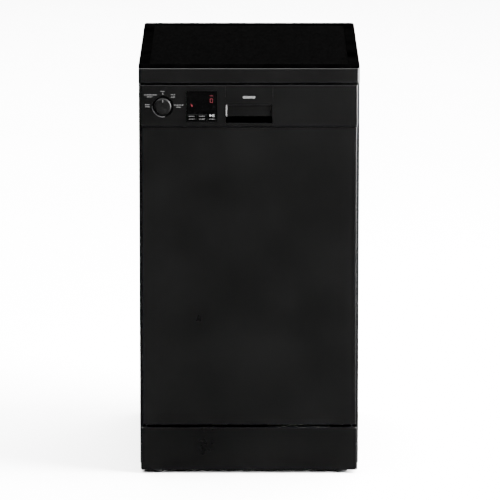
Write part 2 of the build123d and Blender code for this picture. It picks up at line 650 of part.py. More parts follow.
def dispenser_body():
    """The detergent cup, the rinse-aid mouth and the rails that the lid slides between."""
    deck = LINER_BACK + 2.2
    body = block((-82, 82), (LINER_BACK - 19, deck), (387, 543))
    body += rounded_plate((-88, 88), (LINER_BACK + 0.2, deck), (381, 549), 8, Axis.Y)
    for x in ((-79.5, -76.3), (0.3, 3.5)):
        body += block(x, (deck - 1, deck + 5), (388, 542))
    body -= rounded_plate((-72, -4), (LINER_BACK - 16, deck + 1), (395, 460), 8, Axis.Y)
    return body - rod((42, LINER_BACK - 13, 430), (42, deck + 1, 430), 17)


def dispenser_lid():
    deck = LINER_BACK + 2.2
    plate = block((-76, 0), (deck + 0.2, deck + 3.2), (391, 464))
    grip = block((-58, -18), (deck + 3, deck + 6), (396, 400))
    grip = fillet(grip.edges().filter_by(Axis.X).group_by(Axis.Y)[-1], 1)
    return fillet(plate.edges().filter_by(Axis.Y), 3) + grip


def rinse_aid_cap():
    deck = LINER_BACK + 2.2
    plug = rod((42, LINER_BACK - 9, 430), (42, deck + 1, 430), 16.5)
    top = rod((42, deck + 0.3, 430), (42, deck + 6, 430), 20)
    grip = rounded_plate((39, 45), (deck + 5, deck + 10), (413, 447), 2, Axis.Y)
    return plug + fillet(top.edges().group_by(Axis.Y)[-1], 1.5) + grip


def hinge_arms():
    """Steel arms on the door: an eye on the pin, a leg up the door and a lug for the spring."""
    x = (204.0, 207.0)
    eye = rod((x[0], HINGE_Y, HINGE_Z), (x[1], HINGE_Y, HINGE_Z), 10)
    leg = block(x, (HINGE_Y - 9, HINGE_Y + 3.5), (HINGE_Z, HINGE_Z + 130))
    lug = block(x, (HINGE_Y, HINGE_Y + 20), (HINGE_Z - 18, HINGE_Z - 8))
    arm = eye + leg + lug - rod((200, HINGE_Y, HINGE_Z), (210, HINGE_Y, HINGE_Z), HINGE_BORE_R)
    return both_sides(arm)


def hinge_brackets():
    """Steel plates on the base, with the pins that the hinge arms turn on."""
    x = (211.0, 214.0)
    eye = rod((x[0], HINGE_Y, HINGE_Z), (x[1], HINGE_Y, HINGE_Z), 9)
    arm = block(x, (HINGE_Y, -175), (128, 152))
    leg = block(x, (-224, -175), (BASE_TOP + 1, 158))
    foot_flange = block((x[0], 221.5), (-224, -175), (BASE_TOP, BASE_TOP + 2))
    pin = rod((203.5, HINGE_Y, HINGE_Z), (x[1], HINGE_Y, HINGE_Z), HINGE_PIN_R)
    return both_sides(eye + arm + leg + foot_flange + pin)


def door_springs():
    """The balance springs, drawn as their outer shape, each with the hook that takes the arm's lug."""
    x, z = 204.0, 127.0
    coil = tube((x, -216, z), (x, -84.1, z), 5.5, 3.5)
    end = rod((x, -217, z), (x, -214, z), 5.5)
    hook = rod((x + 1.5, HINGE_Y + 20.1, z), (x + 1.5, -216, z), 1.2)
    return both_sides(coil + end + hook)


# ================================================================ baskets
def evenly(low, high, count):
    """Evenly spaced places from low to high, both ends included."""
    return [low + (high - low) * n / (count - 1) for n in range(count)]


def wire_basket(half, floor, rim, mid_rim):
    """Straight wires laid against each other: floor, uprights and two bands of rim."""
    r, rim_r = WIRE / 2, RIM / 2
    wires = []
    cross_y = evenly(BASKET_FRONT + 12, BASKET_BACK - 12, 9)
    long_x = evenly(-half + 28, half - 28, 7)
    for y in cross_y:
        wires.append(rod((-half + r, y, floor), (half - r, y, floor), r))
        wires += both_sides(rod((half, y, floor - r), (half, y, rim + 2), r))
    for x in long_x:
        wires.append(rod((x, BASKET_FRONT + r, floor + WIRE), (x, BASKET_BACK - r, floor + WIRE), r))
        for y in (BASKET_FRONT, BASKET_BACK):
            wires.append(rod((x, y, floor + r), (x, y, rim + 2), r))
    side_x = half + r + rim_r
    end_y = BASKET_BACK + r + rim_r
    for z in (mid_rim, rim):
        wires += both_sides(rod((side_x, -end_y - rim_r, z), (side_x, end_y + rim_r, z), rim_r))
        for y in (-end_y, end_y):
            wires.append(rod((-side_x + rim_r, y, z), (side_x - rim_r, y, z), rim_r))
    return wires


def tine_row(x, base, height, places):
    """A row of upright wires that hold plates apart."""
    return [rod((x, y, base), (x, y, base + height), WIRE / 2) for y in places]


def lower_basket():
    wires = wire_basket(LOWER_HALF, LOWER_FLOOR, LOWER_RIM, 292.0)
    top = LOWER_FLOOR + WIRE + WIRE / 2
    for x in (-100.0, 0.0):
        wires += tine_row(x, top, 90.0, evenly(-175, 175, 11))
    for y in WHEEL_Y.values():
        carrier = rounded_plate((168, 172), (y - 12, y + 12), (WHEEL_Z - 9, LOWER_FLOOR - 2.2), 4, Axis.X)
        carrier += rod((170, y, WHEEL_Z), (186.8, y, WHEEL_Z), 3.0)
        wires += both_sides(carrier)
    return wires


def lower_wheels(y):
    wheel = rod((174.2, y, WHEEL_Z), (186, y, WHEEL_Z), WHEEL_R)
    wheel = fillet(wheel.edges(), 1.5) - rod((170, y, WHEEL_Z), (190, y, WHEEL_Z), 3.1)
    return both_sides(wheel)


def folding_tines():
    """One row of tines on its own bar, which lies down to make room for pots."""
    z = LOWER_FLOOR + WIRE + WIRE / 2 + 3.2
    row = rod((50, -190, z), (50, 190, z), 3.0)
    for tine in tine_row(50, z, 87.0, evenly(-157.5, 157.5, 10)):
        row += tine
    return row


def cutlery_basket():
    """A moulded box with three compartments and a bail across the top."""
    x, y, z = (97, 166), (-140, 100), (LOWER_FLOOR + 6.3, 350)
    box = rounded_plate(x, y, z, 6, Axis.Z)
    wall = 2.0
    rooms = evenly(y[0] + wall, y[1], 4)
    for low, high in zip(rooms, rooms[1:]):
        box -= block((x[0] + wall, x[1] - wall), (low, high - wall), (z[0] + wall, z[1] + 1))
    centre = (x[0] + x[1]) / 2
    for post_y in (y[0] + 80, y[1] - 82):
        box += block((centre - 3, centre + 3), (post_y - 1, post_y + 1), (z[1] - 60, 366))
    box += block((centre - 5, centre + 5), (y[0] + 79, y[1] - 81), (364, 371))
    return box


def upper_basket():
    wires = wire_basket(UPPER_HALF, UPPER_FLOOR, UPPER_RIM, 600.0)
    top = UPPER_FLOOR + WIRE + WIRE / 2
    for x in evenly(-UPPER_HALF + 28, UPPER_HALF - 28, 7)[2:5:2]:
        wires += tine_row(x, top, 58.0, evenly(-170, 170, 9))
    return wires


def upper_rails():
    """C-section rails that run on the rollers, with the blocks that carry the basket."""
    y = (-214, 226)
    rail = block((RAIL_INNER, RAIL_OUTER), y, (587.5, 612.5))
    rail -= block((RAIL_INNER + 1.5, RAIL_OUTER + 1), (y[0] - 1, y[1] + 1), (590, 610))
    for centre in (-150, 150):
        rail += block((UPPER_HALF + WIRE / 2 + RIM, RAIL_INNER), (centre - 12, centre + 12), (594, 608))
    return both_sides(rail)


# ================================================================ every node, by name
def build():
    right_side = side_panel()
    pieces = {
        "worktop_panel": worktop_panel(),
        "worktop_edge_trims": worktop_edge_trims(),
        "worktop_front_strip": worktop_front_strip(),
        "side_panel_right": right_side,
        "side_panel_left": mirror(right_side, about=Plane.YZ),
        "rear_panel": rear_panel(),
        "cabinet_screws": cabinet_screws(),
        "base_tray": base_tray(),
        "plinth": plinth(),
        "front_frame": front_frame(),
        "tub": tub(),
        "tub_gasket": tub_gasket(),
        "roller_brackets": roller_brackets(),
        "spray_feed_pipe": spray_feed_pipe(),
        "fine_filter": fine_filter(),
        "coarse_filter": coarse_filter(),
        "sump": sump(),
        "circulation_pump": circulation_pump(),
        "drain_pump": drain_pump(),
        "water_softener": water_softener(),
        "salt_cap": salt_cap(),
        "lower_spray_arm": spray_arm(LOWER_ARM, 207.0, (10.0, 203.4)),
        "upper_spray_arm": spray_arm(UPPER_ARM, 502.0, (8.1, 510.0)),
        "basket_feed_tube": basket_feed_tube(),
        "air_break_chamber": air_break_chamber(),
        "inlet_valve": inlet_valve(),
        "drain_outlet": drain_outlet(),
        "mains_gland": mains_gland(),
        "internal_hoses": internal_hoses(),
        "door_panel": door_panel(),
        "door_liner": door_liner(),
        "control_panel": control_panel(),
        "programme_knob": programme_knob(),
        "display_window": display_window(),
        "control_board": control_board(),
        "handle_insert": handle_insert(),
        "handle_lever": handle_lever(),
        "door_latch": door_latch(),
        "dispenser_body": dispenser_body(),
        "dispenser_lid": dispenser_lid(),
        "rinse_aid_cap": rinse_aid_cap(),
        "hinge_arms": hinge_arms(),
        "hinge_brackets": hinge_brackets(),
        "door_springs": door_springs(),
        "lower_basket": lower_basket(),
        "folding_tines": folding_tines(),
        "cutlery_basket": cutlery_basket(),
        "upper_basket": upper_basket(),
        "upper_rails": upper_rails(),
    }
    pieces |= {name: foot(*place) for name, place in FEET.items()}
    pieces |= {name: key_cap(x) for name, x in KEYS.items()}
    pieces |= {name: rollers(y) for name, y in ROLLER_Y.items()}
    pieces |= {name: lower_wheels(y) for name, y in WHEEL_Y.items()}
    return pieces


if __name__ == "__main__":
    os.makedirs("parts", exist_ok=True)
    for node, shape in build().items():
        save(node, shape)
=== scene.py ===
"""Looks for a free-standing slimline dishwasher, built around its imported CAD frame."""

import logging
import math
from dataclasses import dataclass, field
from enum import Enum
from typing import Any, Sequence

import bpy
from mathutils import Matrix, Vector


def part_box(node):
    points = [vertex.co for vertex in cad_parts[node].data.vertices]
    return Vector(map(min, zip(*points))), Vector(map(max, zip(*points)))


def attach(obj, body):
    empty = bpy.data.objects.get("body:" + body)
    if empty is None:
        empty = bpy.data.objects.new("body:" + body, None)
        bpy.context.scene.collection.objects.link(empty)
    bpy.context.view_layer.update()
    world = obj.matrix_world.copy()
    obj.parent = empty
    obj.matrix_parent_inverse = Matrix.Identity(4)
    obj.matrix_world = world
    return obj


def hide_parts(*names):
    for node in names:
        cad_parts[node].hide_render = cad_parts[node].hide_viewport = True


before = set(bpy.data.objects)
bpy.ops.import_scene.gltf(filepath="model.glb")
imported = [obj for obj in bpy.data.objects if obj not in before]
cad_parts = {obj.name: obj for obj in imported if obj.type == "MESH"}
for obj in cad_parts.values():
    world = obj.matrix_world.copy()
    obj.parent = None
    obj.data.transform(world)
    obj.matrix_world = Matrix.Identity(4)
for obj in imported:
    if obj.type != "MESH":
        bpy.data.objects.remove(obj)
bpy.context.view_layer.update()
LOG = logging.getLogger("dishwasher")
Piece = bpy.types.Object
Tree = bpy.types.NodeTree
Socket = bpy.types.NodeSocket

MM = 0.001  # metres in a millimetre
MERGE = 0.00001  # metres: points nearer than this become one point
INLAID = 0.02  # millimetres that a printed mark reaches into its surface
RAMP_STOPS = (0.3, 0.7)  # heights of the mottle at which a finish is fully dark and fully light
GLOSS_SPREAD = 0.06  # share of its roughness by which a finish varies either way
BRUSHED_STRETCH = 0.02  # scale of brushed streaks along the belt's way, against 1 across it
HOLE_EDGE = (0.28, 0.36)  # distance from a hole's middle, in pitches, where its edge starts and ends
BAND_SCALE = 0.314  # turns a pitch into the scale of the banded texture


class Axis(Enum):
    """The axes of the frame, as places in a vector."""

    X = 0
    Y = 1
    Z = 2


class Pattern(Enum):
    """How a surface was made, which decides its relief."""

    PEEL = "powder coat that flowed before it set"
    MOULDED = "plastic moulded against an eroded tool"
    BRUSHED = "sheet drawn past an abrasive belt"
    SPANGLE = "zinc crystals grown in the dip"
    PERFORATED = "sheet punched with round holes"
    WOVEN = "ribs wound round a hose"


# ---------------------------------------------------------------- finishes
def linear(colour: str) -> tuple[float, float, float, float]:
    """Turn an sRGB hex colour to the linear values that shaders take.

    Args:
        colour: Six hex digits after a hash.

    Returns:
        Red, green, blue and alpha.
    """
    parts = [int(colour[k:k + 2], 16) / 255 for k in (1, 3, 5)]
    return (*[p / 12.92 if p <= 0.04045 else ((p + 0.055) / 1.055) ** 2.4 for p in parts], 1.0)


def add_node(tree: Tree, kind: str, settings: dict[Any, Any],
             links: dict[Any, Socket] | None = None) -> bpy.types.Node:
    """Add one shader node with its settings and the links that feed it.

    Args:
        tree: The material's node tree.
        kind: The node's type, without its "ShaderNode" prefix.
        settings: Inputs by name or number, or properties by name, with their values.
        links: Inputs by name or number, with the sockets that feed them.

    Returns:
        The new node.
    """
    made = tree.nodes.new("ShaderNode" + kind)
    for name, value in settings.items():
        if isinstance(name, int) or name in made.inputs:
            made.inputs[name].default_value = value
        else:
            setattr(made, name, value)
    for name, socket in (links or {}).items():
        tree.links.new(socket, made.inputs[name])
    return made


@dataclass(frozen=True)
class Finish:
    """One real material: its colours, its gloss and the relief that its making left."""

    name: str
    dark: str
    light: str
    roughness: float
    pattern: Pattern = Pattern.MOULDED
    grain_mm: float = 1.2
    depth_mm: float = 0.02
    mottle_mm: float = 60.0
    metallic: float = 0.0
    specular: float = 0.5
    along: Axis = Axis.X
    glow: float = 0.0

    def material(self) -> bpy.types.Material:
        """Build the material, once, and return it."""
        found = bpy.data.materials.get(self.name)
        if found:
            return found
        made = bpy.data.materials.new(self.name)
        made.use_nodes = True
        tree = made.node_tree
        shader = tree.nodes["Principled BSDF"]
        shader.inputs["Metallic"].default_value = self.metallic
        if not self.metallic:
            shader.inputs["Specular IOR Level"].default_value = self.specular
        place = add_node(tree, "TexCoord", {}).outputs["Object"]
        mottle = self._mottle(tree, place)
        relief = self._relief(tree, place)
        colour = add_node(tree, "ValToRGB", {}, {"Fac": self._colour_source(mottle, relief)})
        for stop, height, tone in zip(colour.color_ramp.elements, RAMP_STOPS, (self.dark, self.light)):
            stop.position = height
            stop.color = linear(tone)
        tree.links.new(colour.outputs["Color"], shader.inputs["Base Color"])
        spread = self.roughness * GLOSS_SPREAD
        limits = {"To Min": self.roughness - spread, "To Max": self.roughness + spread}
        gloss = add_node(tree, "MapRange", limits, {"Value": mottle})
        tree.links.new(gloss.outputs["Result"], shader.inputs["Roughness"])
        bump = add_node(tree, "Bump", {"Distance": self.depth_mm * MM, "Strength": 1.0}, {"Height": relief})
        tree.links.new(bump.outputs["Normal"], shader.inputs["Normal"])
        if self.glow:
            shader.inputs["Emission Color"].default_value = linear(self.light)
            shader.inputs["Emission Strength"].default_value = self.glow
        return made

    def _colour_source(self, mottle: Socket, relief: Socket) -> Socket:
        """Zinc and punched sheet take their colour from the relief, the rest from the broad mottle."""
        return relief if self.pattern in (Pattern.SPANGLE, Pattern.PERFORATED) else mottle

    def _mottle(self, tree: Tree, place: Socket) -> Socket:
        """Add the broad, faint variation of a real surface and return its height."""
        settings = {"Scale": 1 / (self.mottle_mm * MM), "Detail": 4.0, "Roughness": 0.6}
        return add_node(tree, "TexNoise", settings, {"Vector": place}).outputs["Fac"]

    def _relief(self, tree: Tree, place: Socket) -> Socket:
        """Add the fine relief and return its height.

        Args:
            tree: The material's node tree.
            place: The point on the object, in metres.

        Returns:
            The socket with the height, from 0 to 1.
        """
        scale = 1 / (self.grain_mm * MM)
        if self.pattern is Pattern.BRUSHED:
            stretch = [1.0, 1.0, 1.0]
            stretch[self.along.value] = BRUSHED_STRETCH
            combed = add_node(tree, "Mapping", {"Scale": stretch}, {"Vector": place}).outputs["Vector"]
            streaks = add_node(tree, "TexNoise", {"Scale": scale, "Detail": 3.0}, {"Vector": combed})
            return streaks.outputs["Fac"]
        if self.pattern is Pattern.SPANGLE:
            return add_node(tree, "TexVoronoi", {"Scale": scale, "Randomness": 1.0},
                            {"Vector": place}).outputs["Color"]
        if self.pattern is Pattern.PERFORATED:
            dots = add_node(tree, "TexVoronoi", {"Scale": scale, "Randomness": 0.0}, {"Vector": place})
            return add_node(tree, "MapRange", {"From Min": HOLE_EDGE[0], "From Max": HOLE_EDGE[1]},
                            {"Value": dots.outputs["Distance"]}).outputs["Result"]
        if self.pattern is Pattern.WOVEN:
            ribs = {"wave_type": "BANDS", "bands_direction": self.along.name, "Scale": scale * BAND_SCALE}
            return add_node(tree, "TexWave", ribs, {"Vector": place}).outputs["Fac"]
        detail = 2.0 if self.pattern is Pattern.PEEL else 6.0
        return add_node(tree, "TexNoise", {"Scale": scale, "Detail": detail, "Roughness": 0.5},
                        {"Vector": place}).outputs["Fac"]


# Powder-coated sheet: satin black with a faint orange peel, drawn at 2.2 mm where the real one is under 1 mm.
DOOR_COAT = Finish("satin_black_powder_coat", "#020202", "#040404", 0.28, Pattern.PEEL, 2.2, 0.0012,
                   mottle_mm=160, specular=0.26)
# Coil-coated sheet of the cabinet's sides: a more even tone and a little less gloss than the door.
SIDE_COAT = Finish("deep_black_coil_paint", "#050505", "#060606", 0.4, Pattern.PEEL, 1.8, 0.002,
                   mottle_mm=200, specular=0.2)
# Moulded ABS with an eroded texture: it scatters light, so that the fascia looks dry.
FASCIA_ABS = Finish("black_textured_abs", "#020202", "#040404", 0.28, Pattern.MOULDED, 1.0, 0.0012,
                    mottle_mm=120, specular=0.25)
# The knob's cap has the deeper grain of a grip, which kills its highlight.
KNOB_ABS = Finish("grained_knob_abs", "#020202", "#040404", 0.4, Pattern.MOULDED, 0.8, 0.01, specular=0.12)
# A lighter grey for the lip of the dial's dish: a painted highlight that stands in for one bright line of
# reflected light; its gloss is real.
LIP_HIGHLIGHT_ABS = Finish("painted_highlight_lip_abs", "#323233", "#3c3c3d", 0.3, Pattern.MOULDED, 0.8, 0.002, specular=0.6)
# High-pressure laminate: nearly black, with a fine grain and no shine.
LAMINATE = Finish("black_laminate_board", "#000000", "#020202", 0.4, Pattern.MOULDED, 1.5, 0.006,
                  mottle_mm=3.5, specular=0.0)
# Matt polypropylene edging: takes nearly all light.
EDGING = Finish("matt_black_edging", "#000000", "#010101", 0.5, Pattern.MOULDED, 1.0, 0.006, specular=0.0)
# Polished acrylic over the display: a hard black shine.
ACRYLIC = Finish("smoked_acrylic", "#010101", "#020202", 0.1, Pattern.PEEL, 9.0, 0.001, specular=0.22)
# Primed steel at the back: grey-black and dull.
PRIMED = Finish("primed_black_steel", "#050505", "#070707", 0.5, Pattern.PEEL, 1.6, 0.01, mottle_mm=200,
                specular=0.12)
# Recycled polypropylene of the base: dull, with flow marks.
BASE_PP = Finish("recycled_black_polypropylene", "#08080a", "#0d0d0e", 0.55, mottle_mm=60, depth_mm=0.03,
                 specular=0.2)
# Nylon feet.
NYLON = Finish("black_nylon", "#131314", "#1b1b1c", 0.45, mottle_mm=12)
# Galvanised steel: crystals of zinc a few millimetres wide.
ZINC = Finish("galvanised_steel", "#9b9fa3", "#c2c5c8", 0.36, Pattern.SPANGLE, 6.0, 0.01, metallic=1.0)
# Stainless sheet, brushed across the machine.
STAINLESS = Finish("brushed_stainless_sheet", "#a9aaaa", "#b4b5b4", 0.32, Pattern.BRUSHED, 0.8, 0.004,
                   mottle_mm=260, metallic=1.0)
# The same sheet brushed upright, and darker, for the door's liner.
STAINLESS_UP = Finish("brushed_stainless_upright", "#6c6d6d", "#757675", 0.34, Pattern.BRUSHED, 0.8, 0.003,
                      mottle_mm=260, metallic=1.0, along=Axis.Z)
# Rolled stainless section, brushed along its length, for the rails and their brackets.
STAINLESS_DEEP = Finish("brushed_stainless_rail", "#b0b1b1", "#c9cac9", 0.26, Pattern.BRUSHED, 0.6, 0.005,
                        metallic=1.0, along=Axis.Y)
# Punched stainless filter plate: rows of small holes, drawn 2.4 mm apart so that they show.
PUNCHED = Finish("punched_stainless", "#2c2c2c", "#c5c6c6", 0.34, Pattern.PERFORATED, 2.4, 0.08, metallic=1.0)
# EPDM rubber of the seal.
EPDM = Finish("epdm_rubber", "#2a2b2d", "#35363a", 0.6, mottle_mm=20, specular=0.3)
# Polypropylene of the arms, the cutlery basket and the fittings: smooth, slightly waxy.
GREY_PP = Finish("grey_polypropylene", "#4a4f53", "#565b5f", 0.38, mottle_mm=35, depth_mm=0.015)
DARK_PP = Finish("dark_polypropylene", "#333538", "#3e4044", 0.45, mottle_mm=30, depth_mm=0.02)
WHITE_PP = Finish("white_polypropylene", "#868783", "#93948f", 0.36, mottle_mm=40, depth_mm=0.012)
BLUE_PP = Finish("blue_polypropylene", "#163a78", "#1f4a8c", 0.34, mottle_mm=18)
# Nylon coating on wire: soft grey shine.
WIRE_NYLON = Finish("nylon_coated_wire", "#43484d", "#4f5459", 0.34, mottle_mm=22, depth_mm=0.01)
# Oiled spring steel.
SPRING = Finish("oiled_spring_steel", "#55565a", "#6c6d70", 0.32, Pattern.BRUSHED, 0.6, 0.01, metallic=1.0)
# Rubber hose with ribs wound round it.
HOSE = Finish("ribbed_epdm_hose", "#26272a", "#303135", 0.55, Pattern.WOVEN, 4.0, 0.3, along=Axis.Y)
# Zinc-plated screws.
PLATED = Finish("zinc_plated_steel", "#8f9296", "#b4b7ba", 0.3, Pattern.SPANGLE, 1.5, 0.006, metallic=1.0)
# Solder mask on the circuit board.
BOARD = Finish("green_solder_mask", "#0f4a2a", "#176038", 0.3, Pattern.BRUSHED, 1.6, 0.04, along=Axis.X)
# Screen-printed inks: grey and flat, from the faint print on the keys to the white of a symbol.
INK = Finish("grey_screen_ink", "#303030", "#3a3a3a", 0.6, grain_mm=0.5, mottle_mm=4)
BADGE_INK = Finish("pale_badge_ink", "#343434", "#3e3e3e", 0.5, grain_mm=0.5, mottle_mm=4)
KEY_INK = Finish("dim_screen_ink", "#242424", "#2e2e2e", 0.6, grain_mm=0.5, mottle_mm=4)
SYMBOL_INK = Finish("white_screen_ink", "#5c5c5c", "#686868", 0.6, grain_mm=0.5, mottle_mm=4)
# Red light-emitting segments behind the acrylic.
LED = Finish("red_led_segment", "#2e040c", "#48060f", 0.3, grain_mm=0.5, mottle_mm=3, glow=0.22)

NODE_FINISHES: dict[str, Finish] = {
    "worktop_panel": LAMINATE, "worktop_edge_trims": EDGING, "worktop_front_strip": FASCIA_ABS,
    "side_panel_left": SIDE_COAT, "side_panel_right": SIDE_COAT, "rear_panel": PRIMED,
    "cabinet_screws": PLATED, "base_tray": BASE_PP, "plinth": DOOR_COAT, "front_frame": ZINC,
    "tub": STAINLESS, "tub_gasket": EPDM, "roller_brackets": STAINLESS_DEEP, "spray_feed_pipe": GREY_PP,
    "fine_filter": PUNCHED, "sump": DARK_PP, "circulation_pump": WHITE_PP, "drain_pump": WHITE_PP,
    "water_softener": WHITE_PP, "air_break_chamber": WHITE_PP, "inlet_valve": WHITE_PP,
    "drain_outlet": DARK_PP, "mains_gland": DARK_PP, "internal_hoses": HOSE, "hinge_brackets": ZINC,
    "door_springs": SPRING, "door_panel": DOOR_COAT, "door_liner": STAINLESS_UP,
    "control_panel": FASCIA_ABS, "display_window": ACRYLIC, "control_board": BOARD,
    "handle_insert": FASCIA_ABS, "door_latch": WHITE_PP, "dispenser_body": GREY_PP, "hinge_arms": ZINC,
    "programme_knob": FASCIA_ABS, "handle_lever": FASCIA_ABS, "key_half_load": ACRYLIC,
    "key_delay_start": ACRYLIC, "key_start_pause": ACRYLIC, "dispenser_lid": GREY_PP,
    "rinse_aid_cap": BLUE_PP, "upper_basket": WIRE_NYLON, "upper_rails": STAINLESS_DEEP,
    "basket_feed_tube": GREY_PP, "upper_spray_arm": GREY_PP, "lower_spray_arm": GREY_PP,
    "upper_rollers_front": WHITE_PP, "upper_rollers_rear": WHITE_PP, "lower_basket": WIRE_NYLON,
    "lower_wheels_front": GREY_PP, "lower_wheels_rear": GREY_PP, "cutlery_basket": GREY_PP,
    "folding_tines": WIRE_NYLON, "coarse_filter": PUNCHED, "salt_cap": WHITE_PP,
    "foot_front_left": NYLON, "foot_front_right": NYLON, "foot_rear_left": NYLON, "foot_rear_right": NYLON,
}


# ---------------------------------------------------------------- modelling helpers
def deselect() -> None:
    """Deselect every object."""
    bpy.ops.object.select_all(action="DESELECT")


def pick(piece: Piece) -> None:
    """Select one object alone and make it the active one."""
    deselect()
    piece.select_set(True)
    bpy.context.view_layer.objects.active = piece


def named(piece: Piece, name: str) -> Piece:
    """Give a piece and its mesh one name, and return the piece."""
    piece.name = name
    piece.data.name = name
    return piece


def apply_place(piece: Piece) -> None:
    """Put a piece's place, turn and size into its mesh."""
    pick(piece)
    bpy.ops.object.transform_apply(location=True, rotation=True, scale=True)


def slab(low: Sequence[float], high: Sequence[float], radius: float = 0.0, segments: int = 2) -> Piece:
    """Add a box between two corners in millimetres, with every edge rounded.

    Args:
        low: The lowest corner.
        high: The highest corner.
        radius: The edges' radius in millimetres.
        segments: Faces across each rounded edge.

    Returns:
        The box, with its place in its mesh.
    """
    deselect()
    centre = [(a + b) / 2 * MM for a, b in zip(low, high)]
    bpy.ops.mesh.primitive_cube_add(size=1.0, location=centre)
    piece = bpy.context.object
    piece.scale = [(b - a) * MM for a, b in zip(low, high)]
    apply_place(piece)
    if radius:
        bevel(piece, radius, segments)
    return piece


def bevel(piece: Piece, radius: float, segments: int, angle: float = 40.0) -> None:
    """Round a piece's sharp edges.

    Args:
        piece: The piece, which is changed.
        radius: The radius in millimetres.
        segments: Faces across each edge.
        angle: Edges sharper than this many degrees are rounded.
    """
    run_modifier(piece, "BEVEL", width=radius * MM, segments=segments, limit_method="ANGLE",
                 angle_limit=math.radians(angle))


def run_modifier(piece: Piece, kind: str, **settings: Any) -> None:
    """Add one modifier and apply it.

    Args:
        piece: The piece, which is changed.
        kind: The modifier's type.
        **settings: Its settings.
    """
    modifier = piece.modifiers.new(kind.lower(), kind)
    for name, value in settings.items():
        setattr(modifier, name, value)
    pick(piece)
    bpy.ops.object.modifier_apply(modifier=modifier.name)


def join(pieces: Sequence[Piece], name: str) -> Piece:
    """Join several meshes into one named piece.

    Args:
        pieces: The meshes; the first one is kept.
        name: The piece's name.

    Returns:
        The joined piece.
    """
    deselect()
    for piece in pieces:
        piece.select_set(True)
    bpy.context.view_layer.objects.active = pieces[0]
    if len(pieces) > 1:
        bpy.ops.object.join()
    return named(bpy.context.view_layer.objects.active, name)


def smooth(piece: Piece, degrees: float = 35.0) -> None:
    """Shade a piece smooth apart from edges that are sharper than this many degrees."""
    pick(piece)
    bpy.ops.object.shade_smooth_by_angle(angle=math.radians(degrees))


def rounded_route(corners: Sequence[Sequence[float]], bend: float, closed: bool = False,
                  steps: int = 4) -> list[Vector]:
    """Round the corners of a wire's route, as a bending tool does.

    Args:
        corners: The route's corners in millimetres.
        bend: The radius of each bend.
        closed: Whether the last corner joins the first.
        steps: Straight pieces in each bend.

    Returns:
        The route's points in millimetres.
    """
    points = [Vector(c) for c in corners]
    count = len(points)
    route = []
    for n, corner in enumerate(points):
        if not closed and n in (0, count - 1):
            route.append(corner)
            continue
        back = (points[n - 1] - corner).normalized()
        on = (points[(n + 1) % count] - corner).normalized()
        half = back.angle(on) / 2
        centre = corner + (back + on).normalized() * (bend / math.sin(half))
        reach = bend / math.tan(half)
        first, last = corner + back * reach, corner + on * reach
        for step in range(steps + 1):
            spoke = (first - centre).slerp(last - centre, step / steps)
            route.append(centre + spoke)
    return route


def wire(route: Sequence[Sequence[float]], radius: float, closed: bool = False, sides: int = 1) -> Piece:
    """Make a round wire along a route.

    Args:
        route: The wire's middle line in millimetres.
        radius: Its radius in millimetres.
        closed: Whether its ends meet.
        sides: The bevel's resolution: 1 gives six sides, 2 gives eight.

    Returns:
        The wire as a closed mesh.
    """
    piece = drawn_line(route, closed)
    piece.data.bevel_depth = radius * MM
    piece.data.bevel_resolution = sides
    piece.data.use_fill_caps = True
    return to_mesh(piece)


def drawn_line(route: Sequence[Sequence[float]], closed: bool) -> Piece:
    """Add a curve of straight runs.

    Args:
        route: The points that it runs through, in millimetres.
        closed: Whether the last point joins the first.

    Returns:
        The curve.
    """
    deselect()
    bpy.ops.curve.primitive_nurbs_path_add()
    piece = bpy.context.object
    piece.data.splines.clear()
    line = piece.data.splines.new("POLY")
    line.points.add(len(route) - 1)
    for point, place in zip(line.points, route):
        point.co = (*[v * MM for v in place], 1.0)
    line.use_cyclic_u = closed
    return piece


def to_mesh(piece: Piece) -> Piece:
    """Convert a curve to a mesh and merge its doubled points.

    Args:
        piece: The curve.

    Returns:
        The mesh.
    """
    pick(piece)
    bpy.ops.object.convert(target="MESH")
    made = bpy.context.object
    clean(made)
    return made


def clean(piece: Piece) -> None:
    """Merge a mesh's doubled points and turn its faces outwards.

    Args:
        piece: The piece, whose mesh is changed.
    """
    pick(piece)
    bpy.ops.object.mode_set(mode="EDIT")
    bpy.ops.mesh.select_all(action="SELECT")
    bpy.ops.mesh.remove_doubles(threshold=MERGE)
    bpy.ops.mesh.normals_make_consistent(inside=False)
    bpy.ops.object.mode_set(mode="OBJECT")


def turned(profile: Sequence[tuple[float, float]], centre: Sequence[float], axis: Axis,
           steps: int = 40) -> Piece:
    """Turn a profile round an axis, as on a lathe.

    Args:
        profile: Radius and distance along the axis in millimetres, from one end to the other.
        centre: The point in millimetres from which distances along the axis are measured.
        axis: The axis that it turns round, parallel to X, Y or Z.
        steps: Faces round the piece.

    Returns:
        The turned piece.
    """
    piece = to_mesh(drawn_line([(radius, 0.0, along) for radius, along in profile], False))
    run_modifier(piece, "SCREW", axis="Z", steps=steps, render_steps=steps, use_merge_vertices=True,
                 merge_threshold=MERGE)
    quarter = math.radians(90)
    turns = {Axis.X: (0.0, quarter, 0.0), Axis.Y: (-quarter, 0.0, 0.0), Axis.Z: (0.0, 0.0, 0.0)}
    piece.rotation_euler = turns[axis]
    piece.location = [v * MM for v in centre]
    apply_place(piece)
    clean(piece)
    smooth(piece)
    return piece


